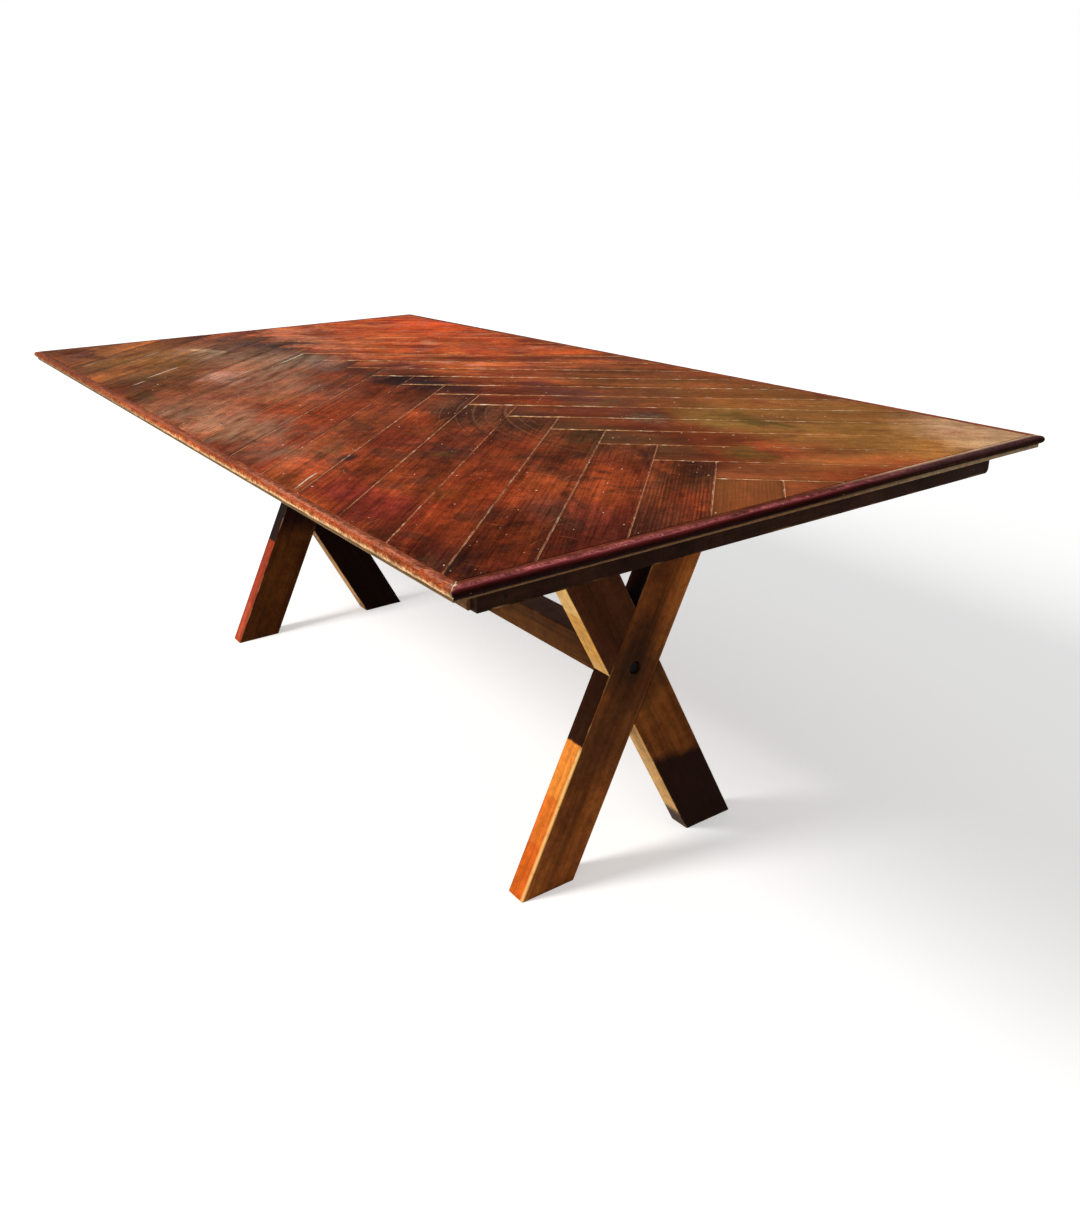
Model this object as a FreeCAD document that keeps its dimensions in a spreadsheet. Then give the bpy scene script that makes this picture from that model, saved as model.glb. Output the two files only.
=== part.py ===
import FreeCAD, Part
import math
import os
import Sketcher

# Sawbuck dining table.  Millimetres, +Z up, origin on the floor under the middle of the top.
# X runs along the table (+X is the front end), Y across it (-Y is the left side).

doc = FreeCAD.newDocument("sawbuck_table")
Vector = FreeCAD.Vector
Rotation = FreeCAD.Rotation

# ---------------------------------------------------------------- driving dimensions

DIMENSIONS = [
    # overall
    ("table_length", 2112),
    ("table_width", 1094),
    ("table_height", 762),
    # herringbone boards: the spine zigzags along the middle of the top
    ("board_thickness", 13),
    ("board_width", 94),
    ("joint_gap", 0.4),
    ("joint_ease", 0.8),
    ("spine_start", 58),
    ("smallest_offcut", 10),
    # nosing round the edge, and the panel that carries the boards
    ("nosing_width", 18),
    ("panel_thickness", 6),
    ("panel_inset", 6),
    # frame under the panel
    ("frame_depth", 42),
    ("rail_width", 89),
    ("rail_inset", 57),
    ("apron_thickness", 14),
    ("apron_inset", 52),
    ("apron_short", 5),
    ("apron_corner_radius", 8),
    ("timber_ease", 2.5),
    # trestles
    ("trestle_inset", 350),
    ("leg_thickness", 44),
    ("leg_width", 99),
    ("leg_lean", 26.6),
    ("crossing_height", 378),
    ("trestle_batten_thickness", 44),
    ("trestle_batten_depth", 89),
    ("stretcher_width", 58),
    ("stretcher_depth", 55),
    # bolt through each crossing into a barrel nut in the stretcher
    ("crossing_bolt_diameter", 10),
    ("crossing_head_flats", 17),
    ("crossing_head_height", 6.4),
    ("crossing_washer_diameter", 21),
    ("crossing_washer_thickness", 2),
    ("counterbore_diameter", 24),
    ("counterbore_depth", 12),
    ("barrel_nut_diameter", 16),
    ("barrel_nut_length", 40),
    ("barrel_nut_inset", 45),
    ("bolt_end_past_nut", 12),
    # bolts through the leg tops and the trestle battens
    ("leg_bolt_diameter", 8),
    ("leg_head_flats", 13),
    ("leg_head_height", 5.3),
    ("leg_washer_diameter", 18),
    ("leg_washer_thickness", 1.6),
    ("leg_nut_height", 6.8),
    ("leg_bolt_end", 3),
    # screws down through the panel, and nails through the end aprons
    ("screw_diameter", 4),
    ("screw_head_diameter", 8),
    ("screw_head_height", 2.4),
    ("screw_length", 34),
    ("screw_end_distance", 90),
    ("batten_screw_spread", 250),
    ("nail_diameter", 2.5),
    ("nail_head_diameter", 4.6),
    ("nail_head_height", 1.2),
    ("nail_length", 50),
    ("nail_spread", 18),
    # diameter of a hole over the diameter of the fastener in it, and its depth past the end
    ("hole_clearance", 0.6),
    ("hole_run_out", 2),
]

sheet = doc.addObject("Spreadsheet::Sheet", "dims")
for row, (alias, number) in enumerate(DIMENSIONS, start=1):
    sheet.set(f"A{row}", alias)
    sheet.set(f"B{row}", str(number))
    sheet.setAlias(f"B{row}", alias)
doc.recompute()


def size(alias):
    """The number that the sheet holds under an alias."""
    return float(sheet.get(alias))


# Levels and faces that several pieces share, written as expressions of the sheet.

BOARD_BOTTOM = "(dims.table_height - dims.board_thickness)"
PANEL_BOTTOM = f"({BOARD_BOTTOM} - dims.panel_thickness)"
FRAME_BOTTOM = f"({PANEL_BOTTOM} - dims.frame_depth)"
FRAME_MIDDLE = f"({PANEL_BOTTOM} - dims.frame_depth / 2)"
FIELD_HALF_LENGTH = "(dims.table_length / 2 - dims.nosing_width)"
FIELD_HALF_WIDTH = "(dims.table_width / 2 - dims.nosing_width)"
PANEL_HALF_LENGTH = "(dims.table_length / 2 - dims.panel_inset)"
PANEL_HALF_WIDTH = "(dims.table_width / 2 - dims.panel_inset)"
RAIL_OUTER = "(dims.table_width / 2 - dims.rail_inset)"
RAIL_INNER = f"({RAIL_OUTER} - dims.rail_width)"
RAIL_MIDDLE = f"({RAIL_OUTER} - dims.rail_width / 2)"
APRON_OUTER = "(dims.table_length / 2 - dims.apron_inset)"
RAIL_HALF_LENGTH = f"({APRON_OUTER} - dims.apron_thickness)"
APRON_HALF_LENGTH = f"({RAIL_OUTER} - dims.apron_short)"
LEG_OUTER_FACE = "(dims.table_length / 2 - dims.trestle_inset)"
LEG_INNER_FACE = f"({LEG_OUTER_FACE} - dims.leg_thickness)"
BATTEN_INNER_FACE = f"({LEG_INNER_FACE} - dims.trestle_batten_thickness)"
BATTEN_BOTTOM = f"({PANEL_BOTTOM} - dims.trestle_batten_depth)"
LEAN = "tan(dims.leg_lean * 1 deg)"
LEG_HALF_RUN = "(dims.leg_width / 2 / cos(dims.leg_lean * 1 deg))"
LEG_BOLT_HEIGHT = f"({PANEL_BOTTOM} - dims.trestle_batten_depth / 2)"
LEG_BOLT_SIDE = f"(({LEG_BOLT_HEIGHT} - dims.crossing_height) * {LEAN})"
TRESTLE_BATTEN_MIDDLE = f"({LEG_INNER_FACE} - dims.trestle_batten_thickness / 2)"
RAIL_SCREW_SPACING = f"(({RAIL_HALF_LENGTH} - dims.screw_end_distance) / 2)"
SCREW_STEPS = (-2, -1, 0, 1, 2)

NAIL_SPREADS = ("-dims.nail_spread / 2", "dims.nail_spread / 2")

SCREW_HOLE = "(dims.screw_diameter + dims.hole_clearance)"
SCREW_HEAD_HOLE = "(dims.screw_head_diameter + dims.hole_clearance)"
NAIL_HOLE = "(dims.nail_diameter + dims.hole_clearance)"
NAIL_HEAD_HOLE = "(dims.nail_head_diameter + dims.hole_clearance)"
LEG_BOLT_HOLE = "(dims.leg_bolt_diameter + dims.hole_clearance)"
CROSSING_HOLE = "(dims.crossing_bolt_diameter + dims.hole_clearance)"
BARREL_HOLE = "(dims.barrel_nut_diameter + dims.hole_clearance)"
SCREW_PILOT_DEPTH = "(dims.screw_length - dims.panel_thickness + dims.hole_run_out)"
NAIL_PILOT_DEPTH = "(dims.nail_length - dims.apron_thickness + dims.hole_run_out)"

HALF_TURN = Rotation(Vector(0, 0, 1), 180)
PLANES = {"XY": "XY_Plane", "XZ": "XZ_Plane", "YZ": "YZ_Plane"}

parts = []


def keep(part, label):
    """Name a finished sub-part and put it on the list that is written."""
    part.Label = label
    parts.append(part)
    return part


# ---------------------------------------------------------------- helpers: sketches and bodies


def new_body(name):
    return doc.addObject("PartDesign::Body", name)


def new_sketch(body, name, plane, offset="0"):
    """An empty sketch on one of the body's origin planes, moved along its normal."""
    sketch = body.newObject("Sketcher::SketchObject", name)
    origin_plane = [f for f in body.Origin.OriginFeatures if f.Role == PLANES[plane]][0]
    sketch.AttachmentSupport = [(origin_plane, "")]
    sketch.MapMode = "FlatFace"
    sketch.setExpression("AttachmentOffset.Base.z", offset)
    return sketch


def value_of(expression):
    """What an expression of the sheet comes to now."""
    return float(sheet.evalExpression(expression.replace("dims.", "")))


def fix_point(sketch, geometry, end, x, y, tag):
    """Hold one point of the sketch at coordinates given by expressions."""
    for axis, expression in (("X", x), ("Y", y)):
        constraint = Sketcher.Constraint("Distance" + axis, geometry, end, value_of(expression))
        index = sketch.addConstraint(constraint)
        name = f"{tag}_{axis.lower()}"
        sketch.renameConstraint(index, name)
        sketch.setExpression("Constraints." + name, expression)


def add_polygon(sketch, points, tag):
    """A closed polygon whose corners sit at coordinates given by expressions."""
    corners = [Vector(value_of(x), value_of(y), 0) for x, y in points]
    first = len(sketch.Geometry)
    count = len(points)
    for i in range(count):
        sketch.addGeometry(Part.LineSegment(corners[i], corners[(i + 1) % count]), False)
    for i in range(count):
        end_of_line = first + i
        start_of_next = first + (i + 1) % count
        sketch.addConstraint(Sketcher.Constraint("Coincident", end_of_line, 2, start_of_next, 1))
    for i, (x, y) in enumerate(points):
        fix_point(sketch, first + i, 1, x, y, f"{tag}_{i}")


def add_circles(sketch, centres, diameter):
    """Circles of one diameter at centres given by expressions."""
    radius = value_of(diameter) / 2
    for i, (x, y) in enumerate(centres):
        centre = Vector(value_of(x), value_of(y), 0)
        geometry = sketch.addGeometry(Part.Circle(centre, Vector(0, 0, 1), radius), False)
        index = sketch.addConstraint(Sketcher.Constraint("Diameter", geometry, 2 * radius))
        sketch.renameConstraint(index, f"diameter_{i}")
        sketch.setExpression(f"Constraints.diameter_{i}", diameter)
        fix_point(sketch, geometry, 3, x, y, f"centre_{i}")


def rectangle(x_low, x_high, y_low, y_high):
    return [(x_low, y_low), (x_high, y_low), (x_high, y_high), (x_low, y_high)]


def add_pad(body, sketch, length, symmetric=False):
    pad = body.newObject("PartDesign::Pad", body.Name + "_pad")
    pad.Profile = sketch
    if symmetric:
        pad.SideType = "Symmetric"
    pad.setExpression("Length", length)
    doc.recompute()
    return pad


def add_pocket(body, sketch, depth=None, reverse=False):
    """A pocket of the given depth, or right through; reversed, it cuts along the sketch's normal."""
    before = body.Shape.Volume
    pocket = body.newObject("PartDesign::Pocket", body.Name + "_pocket")
    pocket.Profile = sketch
    pocket.Reversed = reverse
    if depth is None:
        pocket.Type = "ThroughAll"
    else:
        pocket.setExpression("Length", depth)
    doc.recompute()
    if body.Shape.Volume >= before:
        raise RuntimeError(f"{pocket.Name} cuts nothing")
    return pocket


def add_hole(body, sketch, diameter, reverse=False, cut=None, cut_diameter=None, cut_depth=None):
    """A round hole right through, with a counterbore or countersink if one is named."""
    before = body.Shape.Volume
    hole = body.newObject("PartDesign::Hole", body.Name + "_hole")
    hole.Profile = sketch
    hole.Reversed = reverse
    hole.DepthType = "ThroughAll"
    hole.setExpression("Diameter", diameter)
    if cut:
        hole.HoleCutType = cut
        hole.HoleCutCustomValues = True
        hole.setExpression("HoleCutDiameter", cut_diameter)
        if cut == "Countersink":
            hole.HoleCutCountersinkAngle = countersink_angle()
        else:
            hole.setExpression("HoleCutDepth", cut_depth)
    doc.recompute()
    if body.Shape.Volume >= before:
        raise RuntimeError(f"{hole.Name} cuts nothing")
    return hole


def countersink_angle():
    """Full angle of the screw head's cone."""
    overhang = (size("screw_head_diameter") - size("screw_diameter")) / 2
    return 2 * math.degrees(math.atan2(overhang, size("screw_head_height")))


def edges_along(shape, direction):
    """Names of the straight edges that run along a direction."""
    names = []
    for number, edge in enumerate(shape.Edges, start=1):
        if edge.Curve.TypeId != "Part::GeomLine":
            continue
        if abs(abs(edge.Curve.Direction.dot(direction)) - 1) < 1e-6:
            names.append(f"Edge{number}")
    return names


def add_fillet(body, feature, edges, radius):
    fillet = body.newObject("PartDesign::Fillet", body.Name + "_fillet")
    fillet.Base = (feature, edges)
    fillet.setExpression("Radius", radius)
    doc.recompute()
    return fillet


def place(obj, x="0", y="0", z="0", rotation=None):
    """Bind an object's position to expressions, with a fixed turn."""
    if rotation is not None:
        obj.Placement = FreeCAD.Placement(Vector(0, 0, 0), rotation)
    for axis, expression in (("x", x), ("y", y), ("z", z)):
        obj.setExpression(f"Placement.Base.{axis}", expression)


# ---------------------------------------------------------------- herringbone boards

# The outer nodes of the zigzag lie half a swing to the right of the middle and the inner nodes
# half a swing to the left.  Each board is a plain rectangle laid at 45 degrees whose square end
# meets the side of a board of the other bank; the field's outline trims the other end.

BOARD_PITCH = "(dims.board_width + dims.joint_gap)"
SWING = f"({BOARD_PITCH} / sqrt(2))"
GAP_SHIFT = "(dims.joint_gap / sqrt(2))"
BOARD_RUN = "dims.table_width"

# Each board that ends at the spine has its own node, up to MOST_SINGLES a bank; the rest, in the
# two back corners, are grouped, and so are the two triangles beside the first node of the spine.
MOST_SINGLES = 16


def node_x(index):
    """Where the spine's outer node of this number lies along the table."""
    return f"({FIELD_HALF_LENGTH} - dims.spine_start - 2 * {index} * {SWING})"


def make_field():
    """The outline that trims the boards."""
    field = doc.addObject("Part::Box", "board_field")
    field.setExpression("Length", f"2 * {FIELD_HALF_LENGTH}")
    field.setExpression("Width", f"2 * {FIELD_HALF_WIDTH}")
    field.setExpression("Height", "dims.board_thickness")
    place(field, f"-{FIELD_HALF_LENGTH}", f"-{FIELD_HALF_WIDTH}", BOARD_BOTTOM)
    return field


def ease_top_edges(board, name):
    """Break the top edges of a board, which makes the small V between boards."""
    top = size("table_height")
    ease = size("joint_ease")
    edges = []
    for number, edge in enumerate(board.Shape.Edges, start=1):
        if all(abs(vertex.Z - top) < 1e-6 for vertex in edge.Vertexes):
            edges.append((number, ease, ease))
    chamfer = doc.addObject("Part::Chamfer", name)
    chamfer.Base = board
    chamfer.Edges = edges
    return chamfer


def make_board(name, index, field, bank):
    """One board of the left or the right bank, or nothing where the strip misses the field."""
    strip = doc.addObject("Part::Box", name + "_strip")
    strip.setExpression("Length", BOARD_RUN)
    strip.setExpression("Width", "dims.board_width")
    strip.setExpression("Height", "dims.board_thickness")
    if bank == "left":
        turn = Rotation(Vector(0, 0, 1), -45)
        place(strip, f"{node_x(index)} - {SWING} + {GAP_SHIFT}", f"-{SWING} / 2", BOARD_BOTTOM, turn)
    else:
        turn = Rotation(Vector(0, 0, 1), 45)
        place(strip, f"{node_x(index)} + {SWING}", f"-{SWING} / 2 + {GAP_SHIFT}", BOARD_BOTTOM, turn)
    trimmed = doc.addObject("Part::Common", name + "_trimmed")
    trimmed.Base = strip
    trimmed.Tool = field
    doc.recompute()
    top_area = trimmed.Shape.Volume / size("board_thickness")
    if top_area < size("smallest_offcut") ** 2:
        doc.removeObject(trimmed.Name)
        doc.removeObject(strip.Name)
        return None
    return ease_top_edges(trimmed, name)


def make_bank(bank, field):
    """All boards of one bank, counted from the front end."""
    boards = []
    spacing = value_of(f"2 * {SWING}")
    span = value_of(f"2 * {FIELD_HALF_LENGTH} + {FIELD_HALF_WIDTH}")
    ahead = math.ceil(size("spine_start") / spacing) + 1
    for index in range(-ahead, math.ceil(span / spacing) + 1):
        board = make_board(f"{bank}_board_{len(boards) + 1:02d}", index, field, bank)
        if board is not None:
            boards.append(board)
    return boards


def group(name, members):
    """Several separate solids in one node."""
    compound = doc.addObject("Part::Compound", name)
    compound.Links = members
    return keep(compound, name)


def make_boards():
    field = make_field()
    banks = {bank: make_bank(bank, field) for bank in ("left", "right")}
    spine_length = f"(2 * {FIELD_HALF_LENGTH} - dims.spine_start)"
    singles = min(MOST_SINGLES, 1 + int(value_of(f"{spine_length} / (2 * {SWING})")))
    group("front_centre_boards", [banks["left"][0], banks["right"][0]])
    for bank, boards in banks.items():
        for board in boards[1:singles]:
            keep(board, board.Name)
        group(f"back_{bank}_corner_boards", boards[singles:])


# ---------------------------------------------------------------- nosing


def make_nosing(name, length, rotation, x, y):
    """A half-round strip, mitred at both ends; its flat back stands on the body's XZ plane."""
    body = new_body(name)
    profile = new_sketch(body, name + "_profile", "YZ")
    radius = "dims.board_thickness / 2"
    straight = "(dims.nosing_width - dims.board_thickness / 2)"
    points = [
        (straight, "0"),
        ("0", "0"),
        ("0", "dims.board_thickness - dims.joint_ease"),
        ("dims.joint_ease", "dims.board_thickness"),
        (straight, "dims.board_thickness"),
    ]
    corners = [Vector(value_of(a), value_of(b), 0) for a, b in points]
    for i in range(4):
        profile.addGeometry(Part.LineSegment(corners[i], corners[i + 1]), False)
    centre = Vector(value_of(straight), value_of(radius), 0)
    circle = Part.Circle(centre, Vector(0, 0, 1), value_of(radius))
    nose = profile.addGeometry(Part.ArcOfCircle(circle, -math.pi / 2, math.pi / 2), False)
    for i in range(3):
        profile.addConstraint(Sketcher.Constraint("Coincident", i, 2, i + 1, 1))
    profile.addConstraint(Sketcher.Constraint("Coincident", 3, 2, nose, 2))
    profile.addConstraint(Sketcher.Constraint("Coincident", 0, 1, nose, 1))
    for i, (a, b) in enumerate(points[:4]):
        fix_point(profile, i, 1, a, b, f"corner_{i}")
    fix_point(profile, nose, 3, straight, radius, "nose")
    add_pad(body, profile, length, symmetric=True)
    mitres = new_sketch(body, name + "_mitres", "XY")
    for sign, tag in (("", "near"), ("-", "far")):
        end = f"{sign}({length} / 2)"
        inner = f"{sign}({length} / 2 - dims.nosing_width)"
        add_polygon(mitres, [(inner, "0"), (end, "0"), (end, "dims.nosing_width")], tag)
    add_pocket(body, mitres, reverse=True)
    place(body, x, y, BOARD_BOTTOM, rotation)
    keep(body, name)


def make_nosings():
    quarter = Rotation(Vector(0, 0, 1), 90)
    three_quarter = Rotation(Vector(0, 0, 1), -90)
    make_nosing("nosing_right", "dims.table_length", Rotation(), "0", FIELD_HALF_WIDTH)
    make_nosing("nosing_left", "dims.table_length", HALF_TURN, "0", f"-{FIELD_HALF_WIDTH}")
    make_nosing("nosing_front", "dims.table_width", three_quarter, FIELD_HALF_LENGTH, "0")
    make_nosing("nosing_back", "dims.table_width", quarter, f"-{FIELD_HALF_LENGTH}", "0")


# ---------------------------------------------------------------- panel and frame


def rail_screw_centres(side):
    """Screw centres along one rail."""
    return [(f"{step} * {RAIL_SCREW_SPACING}", f"{side} * {RAIL_MIDDLE}") for step in SCREW_STEPS]


def batten_screw_centres(x):
    return [(x, f"{side} * dims.batten_screw_spread") for side in (-1, 1)]


def all_screw_centres():
    centres = rail_screw_centres(-1) + rail_screw_centres(1)
    for x in (f"-{TRESTLE_BATTEN_MIDDLE}", "0", TRESTLE_BATTEN_MIDDLE):
        centres += batten_screw_centres(x)
    return centres


def make_panel():
    body = new_body("backing_panel")
    outline = new_sketch(body, "panel_outline", "XY")
    half_x, half_y = PANEL_HALF_LENGTH, PANEL_HALF_WIDTH
    add_polygon(outline, rectangle("-" + half_x, half_x, "-" + half_y, half_y), "edge")
    add_pad(body, outline, "dims.panel_thickness")
    holes = new_sketch(body, "panel_holes", "XY", "dims.panel_thickness")
    add_circles(holes, all_screw_centres(), SCREW_HOLE)
    add_hole(body, holes, SCREW_HOLE, cut="Countersink", cut_diameter=SCREW_HEAD_HOLE)
    place(body, z=PANEL_BOTTOM)
    keep(body, "backing_panel")


def make_rail(name, side):
    """A long rail with pilot holes for the panel screws and the apron nails."""
    body = new_body(name)
    outline = new_sketch(body, name + "_outline", "XY")
    half = RAIL_HALF_LENGTH
    edge_low, edge_high = (f"{side} * {RAIL_MIDDLE} - dims.rail_width / 2",
                           f"{side} * {RAIL_MIDDLE} + dims.rail_width / 2")
    add_polygon(outline, rectangle("-" + half, half, edge_low, edge_high), "edge")
    pad = add_pad(body, outline, "dims.frame_depth")
    add_fillet(body, pad, edges_along(pad.Shape, Vector(1, 0, 0)), "dims.timber_ease")
    pilots = new_sketch(body, name + "_pilots", "XY", "dims.frame_depth")
    add_circles(pilots, rail_screw_centres(side), SCREW_HOLE)
    add_pocket(body, pilots, SCREW_PILOT_DEPTH)
    centres = [(f"{side} * {RAIL_MIDDLE}", f"dims.frame_depth / 2 + {spread}")
               for spread in NAIL_SPREADS]
    for end, reverse in ((half, False), ("-" + half, True)):
        nail_holes = new_sketch(body, f"{name}_nails_{int(reverse)}", "YZ", end)
        add_circles(nail_holes, centres, NAIL_HOLE)
        add_pocket(body, nail_holes, NAIL_PILOT_DEPTH, reverse)
    place(body, z=FRAME_BOTTOM)
    keep(body, name)


def make_apron(name, rotation):
    """The end board across the rail ends; one lower corner is rounded."""
    body = new_body(name)
    outline = new_sketch(body, name + "_outline", "YZ", RAIL_HALF_LENGTH)
    half = APRON_HALF_LENGTH
    add_polygon(outline, rectangle("-" + half, half, "0", "dims.frame_depth"), "edge")
    pad = add_pad(body, outline, "dims.apron_thickness")
    corner = []
    for edge_name in edges_along(pad.Shape, Vector(1, 0, 0)):
        middle = pad.Shape.getElement(edge_name).CenterOfMass
        if middle.y > 0 and middle.z < size("frame_depth") / 2:
            corner.append(edge_name)
    add_fillet(body, pad, corner, "dims.apron_corner_radius")
    centres = [(f"{side} * {RAIL_MIDDLE}", f"dims.frame_depth / 2 + {spread}")
               for side in (-1, 1) for spread in NAIL_SPREADS]
    holes = new_sketch(body, name + "_nails", "YZ", APRON_OUTER)
    add_circles(holes, centres, NAIL_HOLE)
    add_hole(body, holes, NAIL_HOLE, cut="Counterbore",
             cut_diameter=NAIL_HEAD_HOLE, cut_depth="dims.nail_head_height")
    place(body, z=FRAME_BOTTOM, rotation=rotation)
    keep(body, name)


def make_centre_batten():
    body = new_body("centre_batten")
    outline = new_sketch(body, "centre_batten_outline", "XY")
    half_x, half_y = "dims.rail_width / 2", RAIL_INNER
    add_polygon(outline, rectangle("-" + half_x, half_x, "-" + half_y, half_y), "edge")
    pad = add_pad(body, outline, "dims.frame_depth")
    add_fillet(body, pad, edges_along(pad.Shape, Vector(0, 1, 0)), "dims.timber_ease")
    pilots = new_sketch(body, "centre_batten_pilots", "XY", "dims.frame_depth")
    add_circles(pilots, batten_screw_centres("0"), SCREW_HOLE)
    add_pocket(body, pilots, SCREW_PILOT_DEPTH)
    place(body, z=FRAME_BOTTOM)
    keep(body, "centre_batten")


# ---------------------------------------------------------------- trestles


def leg_outline(lean):
    """Outline of a leg from the floor to the panel; lean 1 rises to the right, -1 to the left."""
    foot = f"(-dims.crossing_height * {LEAN})"
    head = f"(({PANEL_BOTTOM} - dims.crossing_height) * {LEAN})"
    corners = [(f"{foot} - {LEG_HALF_RUN}", "0"), (f"{foot} + {LEG_HALF_RUN}", "0"),
               (f"{head} + {LEG_HALF_RUN}", PANEL_BOTTOM), (f"{head} - {LEG_HALF_RUN}", PANEL_BOTTOM)]
    return [(f"{lean} * ({y})", z) for y, z in corners]


def make_leg(name, lean, rotation, sign):
    """A leg, half lapped at the crossing.

    The body's X runs from the trestle's inner face to its outer face.  The leg that rises to
    the right runs through on the outer face and carries the counterbore of the crossing bolt.
    """
    body = new_body(name)
    outline = new_sketch(body, name + "_outline", "YZ")
    add_polygon(outline, leg_outline(lean), "edge")
    pad = add_pad(body, outline, "dims.leg_thickness")
    angle = math.radians(size("leg_lean"))
    grain = Vector(0, lean * math.sin(angle), math.cos(angle))
    add_fillet(body, pad, edges_along(pad.Shape, grain), "dims.timber_ease")
    runs_outside = lean > 0
    lap = new_sketch(body, name + "_lap", "YZ", "0" if runs_outside else "dims.leg_thickness")
    add_polygon(lap, leg_outline(-lean), "lap")
    add_pocket(body, lap, "dims.leg_thickness / 2", reverse=runs_outside)
    crossing = new_sketch(body, name + "_crossing", "YZ", "dims.leg_thickness")
    add_circles(crossing, [("0", "dims.crossing_height")], CROSSING_HOLE)
    if runs_outside:
        add_hole(body, crossing, CROSSING_HOLE, cut="Counterbore",
                 cut_diameter="dims.counterbore_diameter", cut_depth="dims.counterbore_depth")
    else:
        add_hole(body, crossing, CROSSING_HOLE)
    top_bolt = new_sketch(body, name + "_top_bolt", "YZ", "dims.leg_thickness")
    add_circles(top_bolt, [(f"{lean} * {LEG_BOLT_SIDE}", LEG_BOLT_HEIGHT)], LEG_BOLT_HOLE)
    add_hole(body, top_bolt, LEG_BOLT_HOLE)
    place(body, x=f"{sign} * {LEG_INNER_FACE}", rotation=rotation)
    keep(body, name)


def make_trestle_batten(name, rotation):
    """The batten on edge inside the leg tops, between the rails."""
    body = new_body(name)
    outline = new_sketch(body, name + "_outline", "YZ", BATTEN_INNER_FACE)
    low, high = f"-{RAIL_INNER}", RAIL_INNER
    add_polygon(outline, rectangle(low, high, BATTEN_BOTTOM, PANEL_BOTTOM), "edge")
    pad = add_pad(body, outline, "dims.trestle_batten_thickness")
    add_fillet(body, pad, edges_along(pad.Shape, Vector(0, 1, 0)), "dims.timber_ease")
    bolts = new_sketch(body, name + "_bolts", "YZ", LEG_INNER_FACE)
    centres = [(f"{side} * {LEG_BOLT_SIDE}", LEG_BOLT_HEIGHT) for side in (-1, 1)]
    add_circles(bolts, centres, LEG_BOLT_HOLE)
    add_hole(body, bolts, LEG_BOLT_HOLE)
    pilots = new_sketch(body, name + "_pilots", "XY", PANEL_BOTTOM)
    add_circles(pilots, batten_screw_centres(TRESTLE_BATTEN_MIDDLE), SCREW_HOLE)
    add_pocket(body, pilots, SCREW_PILOT_DEPTH)
    place(body, rotation=rotation)
    keep(body, name)


BOLT_REACH = "(dims.barrel_nut_inset + dims.bolt_end_past_nut)"


def make_stretcher():
    body = new_body("stretcher")
    section = new_sketch(body, "stretcher_section", "YZ")
    half_y = "dims.stretcher_width / 2"
    low, high = ("dims.crossing_height - dims.stretcher_depth / 2",
                 "dims.crossing_height + dims.stretcher_depth / 2")
    add_polygon(section, rectangle("-" + half_y, half_y, low, high), "edge")
    pad = add_pad(body, section, f"2 * {LEG_INNER_FACE}", symmetric=True)
    add_fillet(body, pad, edges_along(pad.Shape, Vector(1, 0, 0)), "dims.timber_ease")
    for end, reverse in ((LEG_INNER_FACE, False), (f"-{LEG_INNER_FACE}", True)):
        bore = new_sketch(body, f"stretcher_bore_{int(reverse)}", "YZ", end)
        add_circles(bore, [("0", "dims.crossing_height")], CROSSING_HOLE)
        add_pocket(body, bore, f"{BOLT_REACH} + dims.hole_run_out", reverse)
    nuts = new_sketch(body, "stretcher_nut_bores", "XY", low)
    centres = [(f"{side} * ({LEG_INNER_FACE} - dims.barrel_nut_inset)", "0") for side in (-1, 1)]
    add_circles(nuts, centres, BARREL_HOLE)
    add_pocket(body, nuts, "dims.stretcher_depth / 2 + dims.barrel_nut_length / 2", reverse=True)
    keep(body, "stretcher")


# ---------------------------------------------------------------- fasteners

ALONG_X = Rotation(Vector(0, 1, 0), 90)
AGAINST_X = Rotation(Vector(0, 1, 0), -90)


def cylinder(name, radius, height, z="0"):
    solid = doc.addObject("Part::Cylinder", name)
    solid.setExpression("Radius", radius)
    solid.setExpression("Height", height)
    place(solid, z=z)
    return solid


def hexagon(name, flats, height, z="0"):
    solid = doc.addObject("Part::Prism", name)
    solid.Polygon = 6
    solid.setExpression("Circumradius", f"{flats} / sqrt(3)")
    solid.setExpression("Height", height)
    place(solid, z=z)
    return solid


def join(name, kind, base, tool):
    result = doc.addObject(kind, name)
    result.Base = base
    result.Tool = tool
    return result


def hex_bolt(name, diameter, length, flats, head_height):
    """A bolt along +Z whose head lies below the seat at z = 0."""
    shank = cylinder(name + "_shank", f"{diameter} / 2", length)
    head = hexagon(name + "_head", flats, head_height, f"-{head_height}")
    return join(name, "Part::Fuse", shank, head)


def ring(name, outer_diameter, hole_diameter, thickness):
    disc = cylinder(name + "_disc", f"{outer_diameter} / 2", thickness)
    hole = cylinder(name + "_bore", f"{hole_diameter} / 2", thickness)
    return join(name, "Part::Cut", disc, hole)


def hex_nut(name, flats, hole_diameter, height):
    blank = hexagon(name + "_blank", flats, height)
    hole = cylinder(name + "_bore", f"{hole_diameter} / 2", height)
    return join(name, "Part::Cut", blank, hole)


def countersunk_screw(name):
    """A screw pointing down from its flat head at z = 0."""
    head = doc.addObject("Part::Cone", name + "_head")
    head.setExpression("Radius1", "dims.screw_diameter / 2")
    head.setExpression("Radius2", "dims.screw_head_diameter / 2")
    head.setExpression("Height", "dims.screw_head_height")
    place(head, z="-dims.screw_head_height")
    shank_length = "(dims.screw_length - dims.screw_head_height)"
    shank = cylinder(name + "_shank", "dims.screw_diameter / 2", shank_length, "-dims.screw_length")
    return join(name, "Part::Fuse", shank, head)


def end_turns():
    """For each trestle: its name, the sign of its X and the turn of a fastener that enters it."""
    return (("front", "1", AGAINST_X), ("back", "-1", ALONG_X))


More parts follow.
